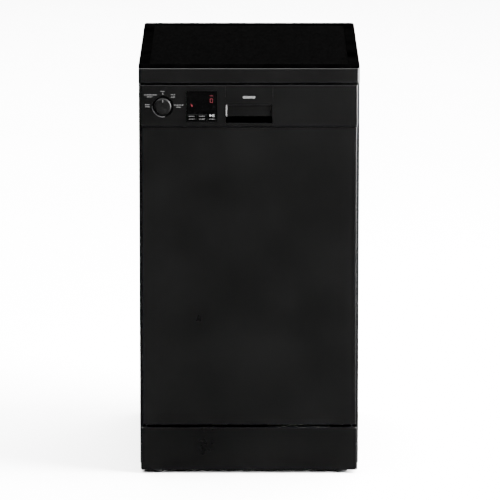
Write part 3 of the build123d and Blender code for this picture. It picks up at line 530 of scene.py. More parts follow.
def plate(outline: Sequence[Sequence[float]], z: tuple[float, float], radius: float) -> Piece:
    """Make a flat piece of any outline with its rims rounded.

    Args:
        outline: The outline's points, x and y, in millimetres.
        z: The lowest and highest level.
        radius: The radius of the rims.

    Returns:
        The piece.
    """
    piece = drawn_line([(x, y, 0.0) for x, y in outline], True)
    piece.data.dimensions = "2D"
    piece.data.fill_mode = "BOTH"
    piece.data.extrude = ((z[1] - z[0]) / 2 - radius) * MM
    piece.data.bevel_depth = radius * MM
    piece.data.bevel_resolution = 3
    piece.data.offset = -radius * MM
    made = to_mesh(piece)
    made.location = (0.0, 0.0, (z[0] + z[1]) / 2 * MM)
    apply_place(made)
    smooth(made)
    return made


def copy_of(piece: Piece, offset: Sequence[float]) -> Piece:
    """Copy a piece, with its own mesh, and move the copy.

    Args:
        piece: The piece.
        offset: How far the copy moves along X, Y and Z, in millimetres.

    Returns:
        The copy.
    """
    made = piece.copy()
    made.data = piece.data.copy()
    bpy.context.scene.collection.objects.link(made)
    made.location = [v * MM for v in offset]
    apply_place(made)
    return made


def row_of(first: Piece, places: Sequence[float], axis: Axis) -> list[Piece]:
    """Copy a piece that stands at the first of several places to all the others.

    Args:
        first: The piece, at the first place.
        places: The places along the axis, in millimetres.
        axis: The axis that the row follows.

    Returns:
        The piece and its copies.
    """
    row = [first]
    for place in places[1:]:
        offset = [0.0, 0.0, 0.0]
        offset[axis.value] = place - places[0]
        row.append(copy_of(first, offset))
    return row


def ring_of(first: Piece, count: int, axis: Axis) -> list[Piece]:
    """Copy a piece round an axis of the frame.

    Args:
        first: The piece, at its first place on the ring.
        count: How many stand on the ring.
        axis: The axis that they stand round.

    Returns:
        The piece and its copies.
    """
    ring = [first]
    for n in range(1, count):
        made = copy_of(first, (0.0, 0.0, 0.0))
        made.rotation_euler[axis.value] = 2 * math.pi * n / count
        apply_place(made)
        ring.append(made)
    return ring


def mirrored(piece: Piece) -> Piece:
    """Copy a piece to the other side of the machine.

    Args:
        piece: The piece on the right.

    Returns:
        Its mirror image on the left.
    """
    made = copy_of(piece, (0.0, 0.0, 0.0))
    made.scale = (-1.0, 1.0, 1.0)
    apply_place(made)
    clean(made)
    return made


def node_box(node: str) -> tuple[Vector, Vector]:
    """The lowest and highest corners of a CAD node, in millimetres."""
    low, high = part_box(node)
    return low / MM, high / MM


def middle(node: str) -> tuple[float, float, float]:
    """The middle of a CAD node's box, in millimetres."""
    low, high = node_box(node)
    return (low.x + high.x) / 2, (low.y + high.y) / 2, (low.z + high.z) / 2


def front_of(node: str) -> float:
    """How far towards the front a CAD node reaches, as its lowest y in millimetres."""
    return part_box(node)[0].y / MM


def evenly(low: float, high: float, count: int) -> list[float]:
    """Evenly spaced places from low to high, both ends included."""
    return [low + (high - low) * n / (count - 1) for n in range(count)]


def dress(piece: Piece, finish: Finish) -> None:
    """Give a whole piece one finish."""
    piece.data.materials.clear()
    piece.data.materials.append(finish.material())


def fit(piece: Piece, finish: Finish, body: str, slot: str, *nodes: str) -> Piece:
    """Dress a finished piece, make it ride on its body and hide the CAD nodes that it replaces.

    Args:
        piece: The finished piece.
        finish: Its finish.
        body: The body that it moves with.
        slot: The record's material slot; not used.
        *nodes: CAD nodes that it replaces.

    Returns:
        The piece.
    """
    dress(piece, finish)
    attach(piece, body)
    if nodes:
        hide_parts(*nodes)
    LOG.info("%s rides on %s, %d faces", piece.name, body, len(piece.data.polygons))
    return piece


# ---------------------------------------------------------------- the carried-over frame
class CarriedFrame:
    """The CAD nodes of the carried-over frame, each with a better material."""

    def dress(self) -> None:
        """Give every CAD node its finish."""
        for name, finish in NODE_FINISHES.items():
            material = finish.material()
            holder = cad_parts[name]
            for place in holder.material_slots:
                place.material = material
        LOG.info("%d CAD nodes dressed", len(NODE_FINISHES))


@dataclass
class PrintedMarks:
    """Printed marks on the fascia and the keys: short bars, ticks and plain symbols, never words."""

    ink_height: float = 1.5
    ink_gap: float = 0.7
    bar_lengths: tuple[float, ...] = (2.6, 1.5, 3.2, 2.0)
    shortest: float = 0.5
    proud: float = 0.06
    tick: tuple[float, float, float, float] = (-175.3, -174.1, 788.6, 792.2)
    badge: tuple[float, float, float, float] = (-12.5, 12.5, 780.6, 785.4)
    key_margin: float = 0.16
    key_rows: tuple[float, float] = (738.4, 744.4)
    symbol_level: float = 745.6
    triangle_radius: float = 3.0
    symbol_half: float = 2.7
    rows: list[tuple[float, float, float]] = field(default_factory=lambda: [
        (-212.5, -187.0, 788.0), (-206.0, -195.5, 783.7), (-210.0, -200.0, 768.0), (-210.0, -200.5, 763.6),
        (-158.5, -149.5, 788.2), (-158.0, -150.0, 783.6), (-152.0, -133.0, 767.2), (-147.0, -137.5, 762.6),
        (-178.8, -170.8, 795.0),
    ])

    def bar(self, x: tuple[float, float], z: tuple[float, float], y: float) -> Piece:
        """Add one thin printed bar on the plane at this y."""
        return slab((x[0], y - self.proud, z[0]), (x[1], y + INLAID, z[1]))

    def printed_row(self, x: tuple[float, float], z: float, y: float) -> list[Piece]:
        """Add a row of short bars that stands for a line of small print.

        Args:
            x: Where the row starts and ends, in millimetres.
            z: The row's middle.
            y: The surface that it is printed on.

        Returns:
            The bars.
        """
        bars = []
        at = x[0]
        while at < x[1] - self.shortest:
            end = min(at + self.bar_lengths[len(bars) % len(self.bar_lengths)], x[1])
            bars.append(self.bar((at, end), (z - self.ink_height / 2, z + self.ink_height / 2), y))
            at = end + self.ink_gap
        return bars

    def build(self) -> None:
        """Print the dial's marks, the badge and the keys' symbols."""
        face = front_of("control_panel")
        bars = [bar for x0, x1, z in self.rows for bar in self.printed_row((x0, x1), z, face)]
        bars.append(self.bar(self.tick[:2], self.tick[2:], face))
        fit(join(bars, "dial_marks"), INK, "door", "fascia_plastic")
        badge = self.bar(self.badge[:2], self.badge[2:], face)
        fit(named(badge, "blank_badge"), BADGE_INK, "door", "fascia_plastic")
        for node in ("key_half_load", "key_delay_start", "key_start_pause"):
            self.key_marks(node)

    def key_marks(self, node: str) -> None:
        """Print one key: two rows, or on the start key a play and pause symbol over one row.

        Args:
            node: The key's CAD node.
        """
        low, high = node_box(node)
        face = low.y
        margin = (high.x - low.x) * self.key_margin
        x = (low.x + margin, high.x - margin)
        lower_row, upper_row = self.key_rows
        pieces = self.printed_row(x, lower_row, face)
        if node == "key_start_pause":
            symbol = join(self.play_pause(middle(node)[0], self.symbol_level, face), "play_pause_symbol")
            fit(symbol, SYMBOL_INK, node, "window_gloss")
        else:
            pieces += self.printed_row(x, upper_row, face)
        fit(join(pieces, node + "_print"), KEY_INK, node, "window_gloss")

    def play_pause(self, x: float, z: float, y: float) -> list[Piece]:
        """Add the usual triangle and two bars.

        Args:
            x: The symbol's middle across the machine.
            z: Its middle up the machine.
            y: The surface that it is printed on.

        Returns:
            The triangle and the bars.
        """
        deselect()
        radius = self.triangle_radius
        bpy.ops.mesh.primitive_cylinder_add(vertices=3, radius=radius * MM, depth=(self.proud + INLAID) * MM,
                                            location=((x - radius) * MM, (y - INLAID) * MM, z * MM),
                                            rotation=(math.radians(90), math.radians(90), 0))
        triangle = bpy.context.object
        apply_place(triangle)
        tall = (z - self.symbol_half, z + self.symbol_half)
        return [triangle, self.bar((x + 1.2, x + 2.3), tall, y), self.bar((x + 3.7, x + 4.8), tall, y)]


@dataclass
class Display:
    """The lit parts behind the acrylic: one seven-segment figure, a bar above it and a drop symbol."""

    digit_centre: tuple[float, float] = (-76.3, 776.2)
    digit_half: tuple[float, float] = (2.4, 3.8)
    stroke: float = 0.8
    gap_half: float = 0.2
    bar_half: float = 3.4
    bar_levels: tuple[float, float] = (785.7, 786.5)
    drop_centre: tuple[float, float] = (-116.2, 766.8)
    drop_radius: float = 1.7
    drop_scale: tuple[float, float, float] = (0.75, 1.9, 1.0)
    drop_lean: float = -28.0
    proud: float = 0.05

    def build(self) -> None:
        """Model the figure, the bar and the drop, and make them ride on the door."""
        face = front_of("display_window")
        x, z = self.digit_centre
        half_x, half_z = self.digit_half
        s = self.stroke / 2
        lit = [((x - half_x, x + half_x), (level - s, level + s)) for level in (z + half_z, z - half_z)]
        for column in (x + half_x, x - half_x):
            lit.append(((column - s, column + s), (z + self.gap_half, z + half_z)))
            lit.append(((column - s, column + s), (z - half_z, z - self.gap_half)))
        lit.append(((x - self.bar_half, x + self.bar_half), self.bar_levels))
        pieces = [slab((a[0], face - self.proud, b[0]), (a[1], face + INLAID, b[1])) for a, b in lit]
        pieces.append(self.drop(face))
        fit(join(pieces, "lit_segments"), LED, "door", "window_gloss")

    def drop(self, y: float) -> Piece:
        """Add the small leaning drop, drawn as a stretched disc.

        Args:
            y: The surface that it shines through.

        Returns:
            The drop.
        """
        deselect()
        x, z = self.drop_centre
        bpy.ops.mesh.primitive_cylinder_add(vertices=16, radius=self.drop_radius * MM, depth=0.08 * MM,
                                            location=(x * MM, (y - 0.01) * MM, z * MM))
        piece = bpy.context.object
        piece.scale = self.drop_scale
        piece.rotation_euler = (math.radians(90), math.radians(self.drop_lean), 0)
        apply_place(piece)
        return piece


# ---------------------------------------------------------------- baskets
@dataclass
class WireBasket:
    """A dish basket of bent wire: rims, U-shaped wires both ways and rows of tines."""

    node: str
    slot: str = "basket_wire"
    wire_radius: float = 2.0
    rim_radius: float = 2.5
    wall_bend: float = 14.0
    corner_bend: float = 24.0
    cross_count: int = 13
    long_count: int = 9
    floor: float = 0.0
    rims: tuple[float, ...] = ()
    tine_rows: tuple[float, ...] = ()
    tine_height: float = 90.0
    tine_reach: float = 175.0
    tine_count: int = 11
    tine_lean: float = 5.0

    def build(self, finish: Finish) -> Piece:
        """Bend the wires, join them and let the basket stand for its CAD node.

        Args:
            finish: The coating on the wire.

        Returns:
            The basket.
        """
        low, high = node_box(self.node)
        side = high.x - self.rim_radius * 2 - self.wire_radius
        end = high.y - self.rim_radius * 2 - self.wire_radius
        pieces = self.rim_loops(high.x - self.rim_radius, high.y - self.rim_radius)
        top = max(self.rims) + self.rim_radius * 0.6
        ys = evenly(-end + self.corner_bend, end - self.corner_bend, self.cross_count)
        y = ys[0]
        corners = [(-side, y, top), (-side, y, self.floor), (side, y, self.floor), (side, y, top)]
        pieces += row_of(wire(rounded_route(corners, self.wall_bend), self.wire_radius), ys, Axis.Y)
        raised = self.floor + self.wire_radius * 2
        xs = evenly(-side + self.corner_bend, side - self.corner_bend, self.long_count)
        x = xs[0]
        corners = [(x, -end, top), (x, -end, raised), (x, end, raised), (x, end, top)]
        pieces += row_of(wire(rounded_route(corners, self.wall_bend), self.wire_radius), xs, Axis.X)
        for x in self.tine_rows:
            pieces += self.tines(x, raised + self.wire_radius)
        pieces += self.extras()
        basket = join(pieces, self.node + "_wires")
        smooth(basket)
        return fit(basket, finish, self.node, self.slot, self.node)

    def rim_loops(self, half_x: float, half_y: float) -> list[Piece]:
        """Bend one closed rim at each level.

        Args:
            half_x: From the basket's middle to the wire's middle, across the machine.
            half_y: The same from front to back.

        Returns:
            The rims.
        """
        loops = []
        for z in self.rims:
            corners = [(-half_x, -half_y, z), (half_x, -half_y, z), (half_x, half_y, z), (-half_x, half_y, z)]
            route = rounded_route(corners, self.corner_bend, closed=True)
            loops.append(wire(route, self.rim_radius, True, 2))
        return loops

    def tines(self, x: float, base: float) -> list[Piece]:
        """Stand one row of tines on the floor, each leaning a little and rounded at its tip.

        Args:
            x: Where the row stands across the machine.
            base: The level of the wires that it stands on.

        Returns:
            The tines.
        """
        ys = evenly(-self.tine_reach, self.tine_reach, self.tine_count)
        y, leant, top = ys[0], ys[0] + self.tine_lean, base + self.tine_height - 2
        shaft = wire([(x, y, base - 3), (x, y, base + 8), (x, leant, top)], self.wire_radius)
        dome = [(self.wire_radius, 0.0), (self.wire_radius * 0.8, 1.2), (0.0, self.wire_radius)]
        tip = turned([(0.0, -0.6), (self.wire_radius, -0.5), *dome], (x, leant, top - 0.2), Axis.Z, 8)
        return row_of(join([shaft, tip], "tine"), ys, Axis.Y)

    def extras(self) -> list[Piece]:
        """Parts that only one of the baskets has."""
        return []


@dataclass
class LowerBasket(WireBasket):
    """The lower basket, with the brackets that its wheels turn on."""

    node: str = "lower_basket"
    floor: float = 228.0
    rims: tuple[float, ...] = (292.0, 358.0)
    tine_rows: tuple[float, ...] = (-100.0, 0.0)
    bracket_x: float = 170.0
    bracket_half: tuple[float, float] = (1.8, 11.0)
    pin_profile: tuple[tuple[float, float], ...] = ((0, 0), (2.9, 0), (2.9, 16.4), (2.2, 16.8), (0, 16.8))

    def extras(self) -> list[Piece]:
        """Model a bracket with its axle pin at each pair of wheels and mirror both to the other side."""
        pieces = []
        half_x, half_y = self.bracket_half
        for wheels in ("lower_wheels_front", "lower_wheels_rear"):
            _, y, z = middle(wheels)
            web = slab((self.bracket_x - half_x, y - half_y, z - 8),
                       (self.bracket_x + half_x, y + half_y, self.floor), 1.4)
            pin = turned(self.pin_profile, (self.bracket_x, y, z), Axis.X, 16)
            pieces += [web, pin, mirrored(web), mirrored(pin)]
        return pieces


@dataclass
class UpperBasket(WireBasket):
    """The upper basket, for glasses, with two short rows of tines."""

    node: str = "upper_basket"
    floor: float = 524.0
    rims: tuple[float, ...] = (600.0, 640.0)
    tine_rows: tuple[float, ...] = (-47.3, 47.3)
    tine_height: float = 58.0
    tine_reach: float = 170.0
    tine_count: int = 9


@dataclass
class FoldingTines:
    """The row of tines that lies down to make room for pots."""

    node: str = "folding_tines"
    bar_radius: float = 2.9
    tine_radius: float = 2.0
    count: int = 10
    reach: float = 157.5

    def build(self) -> None:
        """Model one tine with its sleeve, copy it along the bar, and let the row stand for the node."""
        low, high = node_box(self.node)
        x, z = middle(self.node)[0], low.z + self.bar_radius + 0.1
        pieces = [wire([(x, low.y + 1, z), (x, high.y - 1, z)], self.bar_radius, sides=3)]
        ys = evenly(-self.reach, self.reach, self.count)
        y, top = ys[0], high.z - 2
        shaft = wire([(x, y, z), (x, y, top)], self.tine_radius)
        dome = [(0.0, -0.6), (self.tine_radius, -0.5), (self.tine_radius, 0.0), (1.5, 1.4), (0.0, 1.9)]
        tip = turned(dome, (x, y, top), Axis.Z, 8)
        sleeve = turned([(0, -4), (3.0, -4), (3.0, 4), (0, 4)], (x, y, z), Axis.Y, 12)
        pieces += row_of(join([shaft, tip, sleeve], "folding_tine"), ys, Axis.Y)
        tines = join(pieces, "folding_tine_row")
        smooth(tines)
        fit(tines, WIRE_NYLON, self.node, "basket_wire", self.node)


@dataclass
class CutleryBasket:
    """A moulded lattice box with three rooms and a carrying bail."""

    node: str = "cutlery_basket"
    rib: float = 2.0
    band: float = 3.0
    inset: float = 4.0
    wall_top: float = 350.0
    side_uprights: int = 27
    end_uprights: int = 8
    levels: int = 7
    floor_bars: tuple[int, int] = (10, 25)
    bail_wall: float = 0.9

    def build(self) -> None:
        """Mould the lattice walls, the floor, the dividers and the bail."""
        low, high = node_box(self.node)
        rib, foot, top = self.rib, low.z + 1, self.wall_top - 1
        x, y = (low.x, high.x), (low.y, high.y)
        side_walls = (x[0], x[1] - rib)
        end_walls = (y[0], *self.dividers(y), y[1] - rib)
        ribs = []
        ys = evenly(y[0] + self.inset, y[1] - self.inset - rib, self.side_uprights)
        for wall in side_walls:
            ribs += row_of(slab((wall, ys[0], foot), (wall + rib, ys[0] + rib, top)), ys, Axis.Y)
        xs = evenly(x[0] + self.inset, x[1] - self.inset - rib, self.end_uprights)
        for wall in end_walls:
            ribs += row_of(slab((xs[0], wall, foot), (xs[0] + rib, wall + rib, top)), xs, Axis.X)
        highest = self.wall_top - self.band
        for level in evenly(low.z, highest, self.levels):
            deep = self.band if level in (low.z, highest) else rib
            for wall in side_walls:
                ribs.append(slab((wall, y[0], level), (wall + rib, y[1], level + deep), 0.5, 1))
            for wall in end_walls:
                ribs.append(slab((x[0], wall, level), (x[1], wall + rib, level + deep), 0.5, 1))
        ribs += self.floor_ribs(x, y, low.z)
        ribs += self.bail(x, y, high.z)
        lattice = join(ribs, "cutlery_lattice")
        smooth(lattice)
        fit(lattice, GREY_PP, self.node, "grey_plastic", self.node)

    def dividers(self, y: tuple[float, float]) -> list[float]:
        """Where the two dividers stand."""
        third = (y[1] - y[0] - self.rib) / 3
        return [y[0] + third, y[0] + third * 2]

    def floor_ribs(self, x: tuple[float, float], y: tuple[float, float], z: float) -> list[Piece]:
        """Mould the floor: bars along the basket and bars across it.

        Args:
            x: Where the basket starts and ends across the machine.
            y: Where it starts and ends from front to back.
            z: The floor's lowest level.

        Returns:
            The bars.
        """
        top = z + self.rib
        far = self.inset + self.rib
        xs = evenly(x[0] + self.inset, x[1] - far, self.floor_bars[0])
        along = row_of(slab((xs[0], y[0], z), (xs[0] + self.rib, y[1], top)), xs, Axis.X)
        ys = evenly(y[0] + self.inset, y[1] - far, self.floor_bars[1])
        return along + row_of(slab((x[0], ys[0], z), (x[1], ys[0] + self.rib, top)), ys, Axis.Y)

    def bail(self, x: tuple[float, float], y: tuple[float, float], top: float) -> list[Piece]:
        """Mould the bail: two posts and a rounded bar over the middle room.

        Args:
            x: Where the basket starts and ends across the machine.
            y: Where it starts and ends from front to back.
            top: The bail's highest level.

        Returns:
            The posts and the bar.
        """
        centre = (x[0] + x[1]) / 2
        first, last = self.dividers(y)
        wall = self.bail_wall
        side = self.rib + wall
        foot = self.wall_top - 60
        posts = [slab((centre - 3, at - wall, foot), (centre + 3, at + side, top - 4), 0.6)
                 for at in (first, last)]
        return posts + [slab((centre - 5, first - wall, top - 7), (centre + 5, last + side, top), 2.4, 3)]


# ---------------------------------------------------------------- wash system
@dataclass
class SprayArm:
    """A two-armed blade with raised jets and a turned hub."""

    node: str
    hub_height: float
    jets: tuple[float, ...] = (40.0, 66.0, 92.0, 118.0, 144.0)
    jet_side: float = 4.0
    rim: float = 3.0
    depth: float = 12.0
    tip: float = 12.0
    hub_edge: float = 16.0
    waist: float = 60.0
    waist_share: float = 0.66

    def outline(self, reach: float, half: float) -> list[tuple[float, float]]:
        """The blade in plan: broad at the hub, with round tips.

        Args:
            reach: From the hub's centre to a tip.
            half: Half of the blade's width at the hub.

        Returns:
            Points round the outline, about the hub.
        """
        points = []
        tip = self.tip
        for turn in (0.0, math.pi):
            edge = [(self.hub_edge, half), (self.waist, half * self.waist_share), (reach - tip - 0.5, tip)]
            round_tip = evenly(0.2, math.pi - 0.2, 9)
            shape = [(x, -y) for x, y in edge]
            shape += [(reach - tip + tip * math.sin(a), -tip * math.cos(a)) for a in round_tip]
            shape += edge[::-1]
            points += [(x * math.cos(turn) - y * math.sin(turn), x * math.sin(turn) + y * math.cos(turn))
                       for x, y in shape]
        return points

    def build(self) -> None:
        """Mould the blade, stand the jets on it and turn the hub."""
        low, high = node_box(self.node)
        x0, y0, _ = middle(self.node)
        base = low.z
        blade_top = base + self.depth
        outline = [(x + x0, y + y0) for x, y in self.outline(high.x - x0 - 0.3, (high.y - low.y) / 2 - 0.5)]
        pieces = [plate(outline, (base + 0.2, blade_top - 1.6), self.rim)]
        nozzle = [(0, -1.5), (4.2, -1.5), (3.4, 1.0), (1.7, 1.5), (1.5, 0.2), (0, 0.2)]
        (x1, y1), *others = [(side * reach, side * self.jet_side) for reach in self.jets for side in (-1, 1)]
        jet = turned(nozzle, (x0 + x1, y0 + y1, blade_top - 1.7), Axis.Z, 14)
        pieces += [jet, *[copy_of(jet, (x - x1, y - y1, 0.0)) for x, y in others]]
        tall = self.hub_height - base
        hub = [(10.4, 0.2), (21, 0.2), (23, 2.0), (23, tall - 7), (18, tall - 4.5), (17.5, tall - 0.6),
               (16.5, tall), (10.4, tall), (10.4, 0.2)]
        pieces.append(turned(hub, (x0, y0, base), Axis.Z, 40))
        fit(join(pieces, self.node + "_blade"), GREY_PP, self.node, "grey_plastic", self.node)


@dataclass
class Running:
    """Rollers turned with a chamfered tread, and wheels turned with sunken faces."""

    roller_face: float = 189.6
    wheel_face: float = 174.2

    def build(self) -> None:
        """Turn a pair of rollers or wheels for each of their four nodes."""
        roller = [(3.1, 0), (8.4, 0), (9.8, 1.2), (9.8, 5.8), (8.4, 7.0), (3.1, 7.0), (3.1, 0)]
        for node in ("upper_rollers_front", "upper_rollers_rear"):
            self.pair(node, roller, self.roller_face, WHITE_PP, "white_plastic")
        wheel = [(3.1, 1.0), (6.5, 1.0), (7.5, 2.8), (12.0, 2.8), (13.4, 0.4), (15.6, 0), (17.0, 1.6),
                 (17.0, 10.2), (15.6, 11.8), (13.4, 11.4), (12.0, 9.0), (7.5, 9.0), (6.5, 10.8), (3.1, 10.8),
                 (3.1, 1.0)]
        for node in ("lower_wheels_front", "lower_wheels_rear"):
            self.pair(node, wheel, self.wheel_face, GREY_PP, "grey_plastic")

    def pair(self, node: str, profile: list[tuple[float, float]], x: float, finish: Finish,
             slot: str) -> None:
        """Turn a wheel for each side of the machine.

        Args:
            node: The CAD node that the pair stands for.
            profile: The wheel's half section.
            x: Where its inner face is.
            finish: Its finish.
            slot: The record's material slot.
        """
        _, y, z = middle(node)
        right = turned(profile, (x, y, z), Axis.X, 32)
        wheels = join([right, mirrored(right)], node + "_turned")
        fit(wheels, finish, node, slot, node)


@dataclass
class DoorSeal:
    """The rubber seal round the tub's mouth: a bulb between two lips."""

    node: str = "tub_gasket"
    bend: float = 12.0

    def build(self) -> None:
        """Lay the bulb and the lips along the two sides and the top."""
        low, high = node_box(self.node)
        beads = []
        lip_y = high.y - 1.2
        for inset, radius, y in ((3.5, 2.5, high.y - 2.9), (1.2, 0.9, lip_y), (5.9, 0.9, lip_y)):
            x, top = high.x - inset, high.z - inset
            corners = [(-x, y, low.z), (-x, y, top), (x, y, top), (x, y, low.z)]
            beads.append(wire(rounded_route(corners, self.bend - inset, steps=8), radius, sides=4))
        seal = join(beads, "door_seal")
        smooth(seal, 60)
        fit(seal, EPDM, "cabinet", "gasket_rubber", self.node)


@dataclass
class BalanceSprings:
    """The two close-wound springs that hold the door's weight, each with its hooks."""

    node: str = "door_springs"
    turns: int = 42
    points_a_turn: int = 10
    coil_radius: float = 4.4
    wire_radius: float = 1.0
    axis_x: float = 204.0
    coil_end: float = -216.0

    def build(self) -> None:
        """Wind one spring and mirror it to the other side."""
        low, high = node_box(self.node)
        x, z = self.axis_x, middle(self.node)[2]
        start, end = high.y - 1.2, self.coil_end
        total = self.turns * self.points_a_turn
        helix = []
        for n in range(total + 1):
            angle = 2 * math.pi * n / self.points_a_turn
            along = start + (end - start) * n / total
            spoke = (self.coil_radius * math.cos(angle), self.coil_radius * math.sin(angle))
            helix.append((x + spoke[0], along, z + spoke[1]))
        coil = wire(helix, self.wire_radius)
        hook_route = [(x + self.coil_radius, end, z), (x + 1.5, end - 4, z), (x + 1.5, low.y + 0.3, z)]
        hook = wire(rounded_route(hook_route, 2.0), 1.2)
        spring = join([coil, hook], "spring_right")
        smooth(spring, 60)
        both = join([spring, mirrored(spring)], "balance_springs")
        fit(both, SPRING, "cabinet", "spring_steel", self.node)


@dataclass
class ServiceCaps:
    """The parts that are unscrewed by hand: rinse-aid cap, salt cap and coarse filter."""

    rib_half: float = 0.6

    def build(self) -> None:
        """Turn the two caps and the filter's cup, each with its grip."""
        self.rinse_cap()
        self.salt_cap()
        self.filter_cup()

    def rim_ribs(self, radius: float, along: tuple[float, float], count: int) -> list[Piece]:
        """Stand small ribs round the Z axis for a rim that fingers hold.

        Args:
            radius: The ribs' outer radius in millimetres.
            along: Their lowest and highest level.
            count: How many there are.

        Returns:
            The ribs.
        """
        rib = slab((-self.rib_half, radius - 1.2, along[0]), (self.rib_half, radius, along[1]))
        return ring_of(rib, count, Axis.Z)

    def rinse_cap(self) -> None:
        """Turn the rinse-aid cap, whose axis points into the machine."""
        low, high = node_box("rinse_aid_cap")
        x, _, z = middle("rinse_aid_cap")
        profile = [(0, 0), (16, 0), (16.5, 0.5), (16.5, 11.6), (19.4, 11.6), (19.4, 15.9), (18.8, 16.8),
                   (17.6, 17.2), (16.2, 17), (15.4, 16.2), (0, 16.2)]
        ribs = join(self.rim_ribs(20.0, (11.8, 15.6), 24), "rinse_ribs")
        ribs.rotation_euler = (math.radians(-90), 0.0, 0.0)
        ribs.location = (x * MM, low.y * MM, z * MM)
        apply_place(ribs)
        grip = slab((x - 2.9, low.y + 15.8, z - 16.8), (x + 2.9, high.y, z + 16.8), 2.0, 3)
        smooth(grip)
        cap = join([turned(profile, (x, low.y, z), Axis.Y, 48), ribs, grip], "rinse_cap_turned")
        fit(cap, BLUE_PP, "rinse_aid_cap", "blue_plastic", "rinse_aid_cap")

    def salt_cap(self) -> None:
        """Turn the salt cap, which closes the softener in the tub's floor."""
        low, high = node_box("salt_cap")
        x, y, _ = middle("salt_cap")
        profile = [(0, 0), (22.5, 0), (23, 0.5), (23, 20.4), (29.2, 20.4), (29.2, 25.6), (28.6, 27.2),
                   (27.4, 28), (25.2, 27.8), (24.2, 27), (0, 27)]
        ribs = join(self.rim_ribs(30.0, (20.6, 25.4), 30), "salt_ribs")
        ribs.location = (x * MM, y * MM, low.z * MM)
        apply_place(ribs)
        grip = slab((x - 21.8, y - 3.9, low.z + 26.4), (x + 21.8, y + 3.9, high.z), 2.8, 3)
        smooth(grip)
        cap = join([turned(profile, (x, y, low.z), Axis.Z, 56), ribs, grip], "salt_cap_turned")
        fit(cap, WHITE_PP, "salt_cap", "white_plastic", "salt_cap")

    def filter_cup(self) -> None:
        """Turn the filter's punched cup and mould its ring and bar handle."""
        low, high = node_box("coarse_filter")
        x, y, _ = middle("coarse_filter")
        cup = [(0, 0), (33, 0), (34, 1), (34, 61), (32, 61), (32, 3), (0, 3)]
        body = turned(cup, (x, y, low.z), Axis.Z, 56)
        fit(named(body, "filter_cup"), PUNCHED, "coarse_filter", "mesh_steel", "coarse_filter")
        ring = [(30, 61), (36.5, 61), (36.5, 63.4), (35.9, 64), (30.6, 64), (30, 63.4), (30, 61)]
        bar = slab((x - 31, y - 2.9, low.z + 62), (x + 31, y + 2.9, high.z), 2.6, 3)
        smooth(bar)
        grip = join([turned(ring, (x, y, low.z), Axis.Z, 56), bar], "filter_grip")
        fit(grip, GREY_PP, "coarse_filter", "mesh_steel")


# ---------------------------------------------------------------- cabinet hardware
@dataclass
class Hardware:
    """Screws, feet and the circulation pump."""

    head: float = 2.2
    cross_half: float = 0.45
    cross_reach: float = 2.2
    cross_depth: float = 1.1
    thread_turns: int = 18
    thread_pitch: float = 2.0
    motor_ribs: int = 9

    def build(self) -> None:
        """Build the screws, then the feet, then the pump."""
        self.screws()
        for node in ("foot_front_left", "foot_front_right", "foot_rear_left", "foot_rear_right"):
            self.foot(node)
        self.pump()

    def screws(self) -> None:
        """Turn one pan-head screw, cut its cross recess and copy it to the eight holes."""
        low, high = node_box("cabinet_screws")
        head_back, face = high.y - self.head, high.y
        xs, zs = (low.x + 4, high.x - 4), evenly(low.z + 4, high.z - 4, 4)
        profile = [(0, low.y - head_back), (1.9, low.y - head_back + 0.6), (1.9, 0), (4.0, 0), (3.8, 1.2),
                   (2.6, 2.0), (0, self.head)]
        screw = turned(profile, (xs[0], head_back, zs[0]), Axis.Y, 20)
        for long_axis in (0, 2):
            half = [self.cross_half, 0.0, self.cross_half]
            half[long_axis] = self.cross_reach
            cutter = slab((xs[0] - half[0], face - self.cross_depth, zs[0] - half[2]),
                          (xs[0] + half[0], face + 1, zs[0] + half[2]))
            run_modifier(screw, "BOOLEAN", object=cutter, operation="DIFFERENCE", solver="EXACT")
            bpy.data.objects.remove(cutter)
        places = [(x, z) for x in xs for z in zs][1:]
        copies = [copy_of(screw, (x - xs[0], 0, z - zs[0])) for x, z in places]
        fit(join([screw, *copies], "panel_screws"), PLATED, "cabinet", "screw_steel", "cabinet_screws")

    def foot(self, node: str) -> None:
        """Turn one levelling foot: a domed pad and a threaded stem.

        Args:
            node: The foot's CAD node.
        """
        low, high = node_box(node)
        x, y, _ = middle(node)
        dome = [(0, 0), (11.6, 0), (12.8, 0.9), (13.0, 2.0), (12.6, 5.0), (10.5, 6.4), (8.6, 7.0), (0, 7.0)]
        pad = turned(dome, (x, y, low.z), Axis.Z, 40)
        stem = [(0, 6.0)]
        for n in range(self.thread_turns):
            stem += [(4.2, 7.5 + n * self.thread_pitch), (4.9, 8.5 + n * self.thread_pitch)]
        stem += [(4.2, high.z - 0.4), (0, high.z - 0.2)]
        foot = join([pad, turned(stem, (x, y, low.z), Axis.Z, 20)], node + "_turned")
        fit(foot, NYLON, node, "foot_plastic", node)

    def pump(self) -> None:
        """Turn the circulation pump: volute, ribbed motor and end cap, with its outlet and saddle."""
        low, high = node_box("circulation_pump")
        y, z = high.y - 48, high.z - 48
        body = [(0, low.x), (40, low.x), (46, low.x + 3), (48, low.x + 8), (48, 8), (46, 13), (41, 15.5)]
        for n in range(self.motor_ribs):
            at = 18 + n * 10
            body += [(39.8, at), (39.8, at + 5), (37.6, at + 6), (37.6, at + 9)]
        body += [(39.8, 109), (39.8, 124), (34, high.x - 1), (0, high.x)]
        pieces = [turned(body, (0, y, z), Axis.X, 56)]
        pieces.append(turned([(0, 0), (12.5, 0), (12.5, 5), (11, 6), (11, 50), (0, 50)],
                             (0, low.y, z + 26), Axis.Y, 32))
        pieces.append(slab((40, y - 18, low.z), (110, y + 18, z - 34), 4.0, 3))
        fit(join(pieces, "pump_casting"), WHITE_PP, "cabinet", "pump_plastic", "circulation_pump")


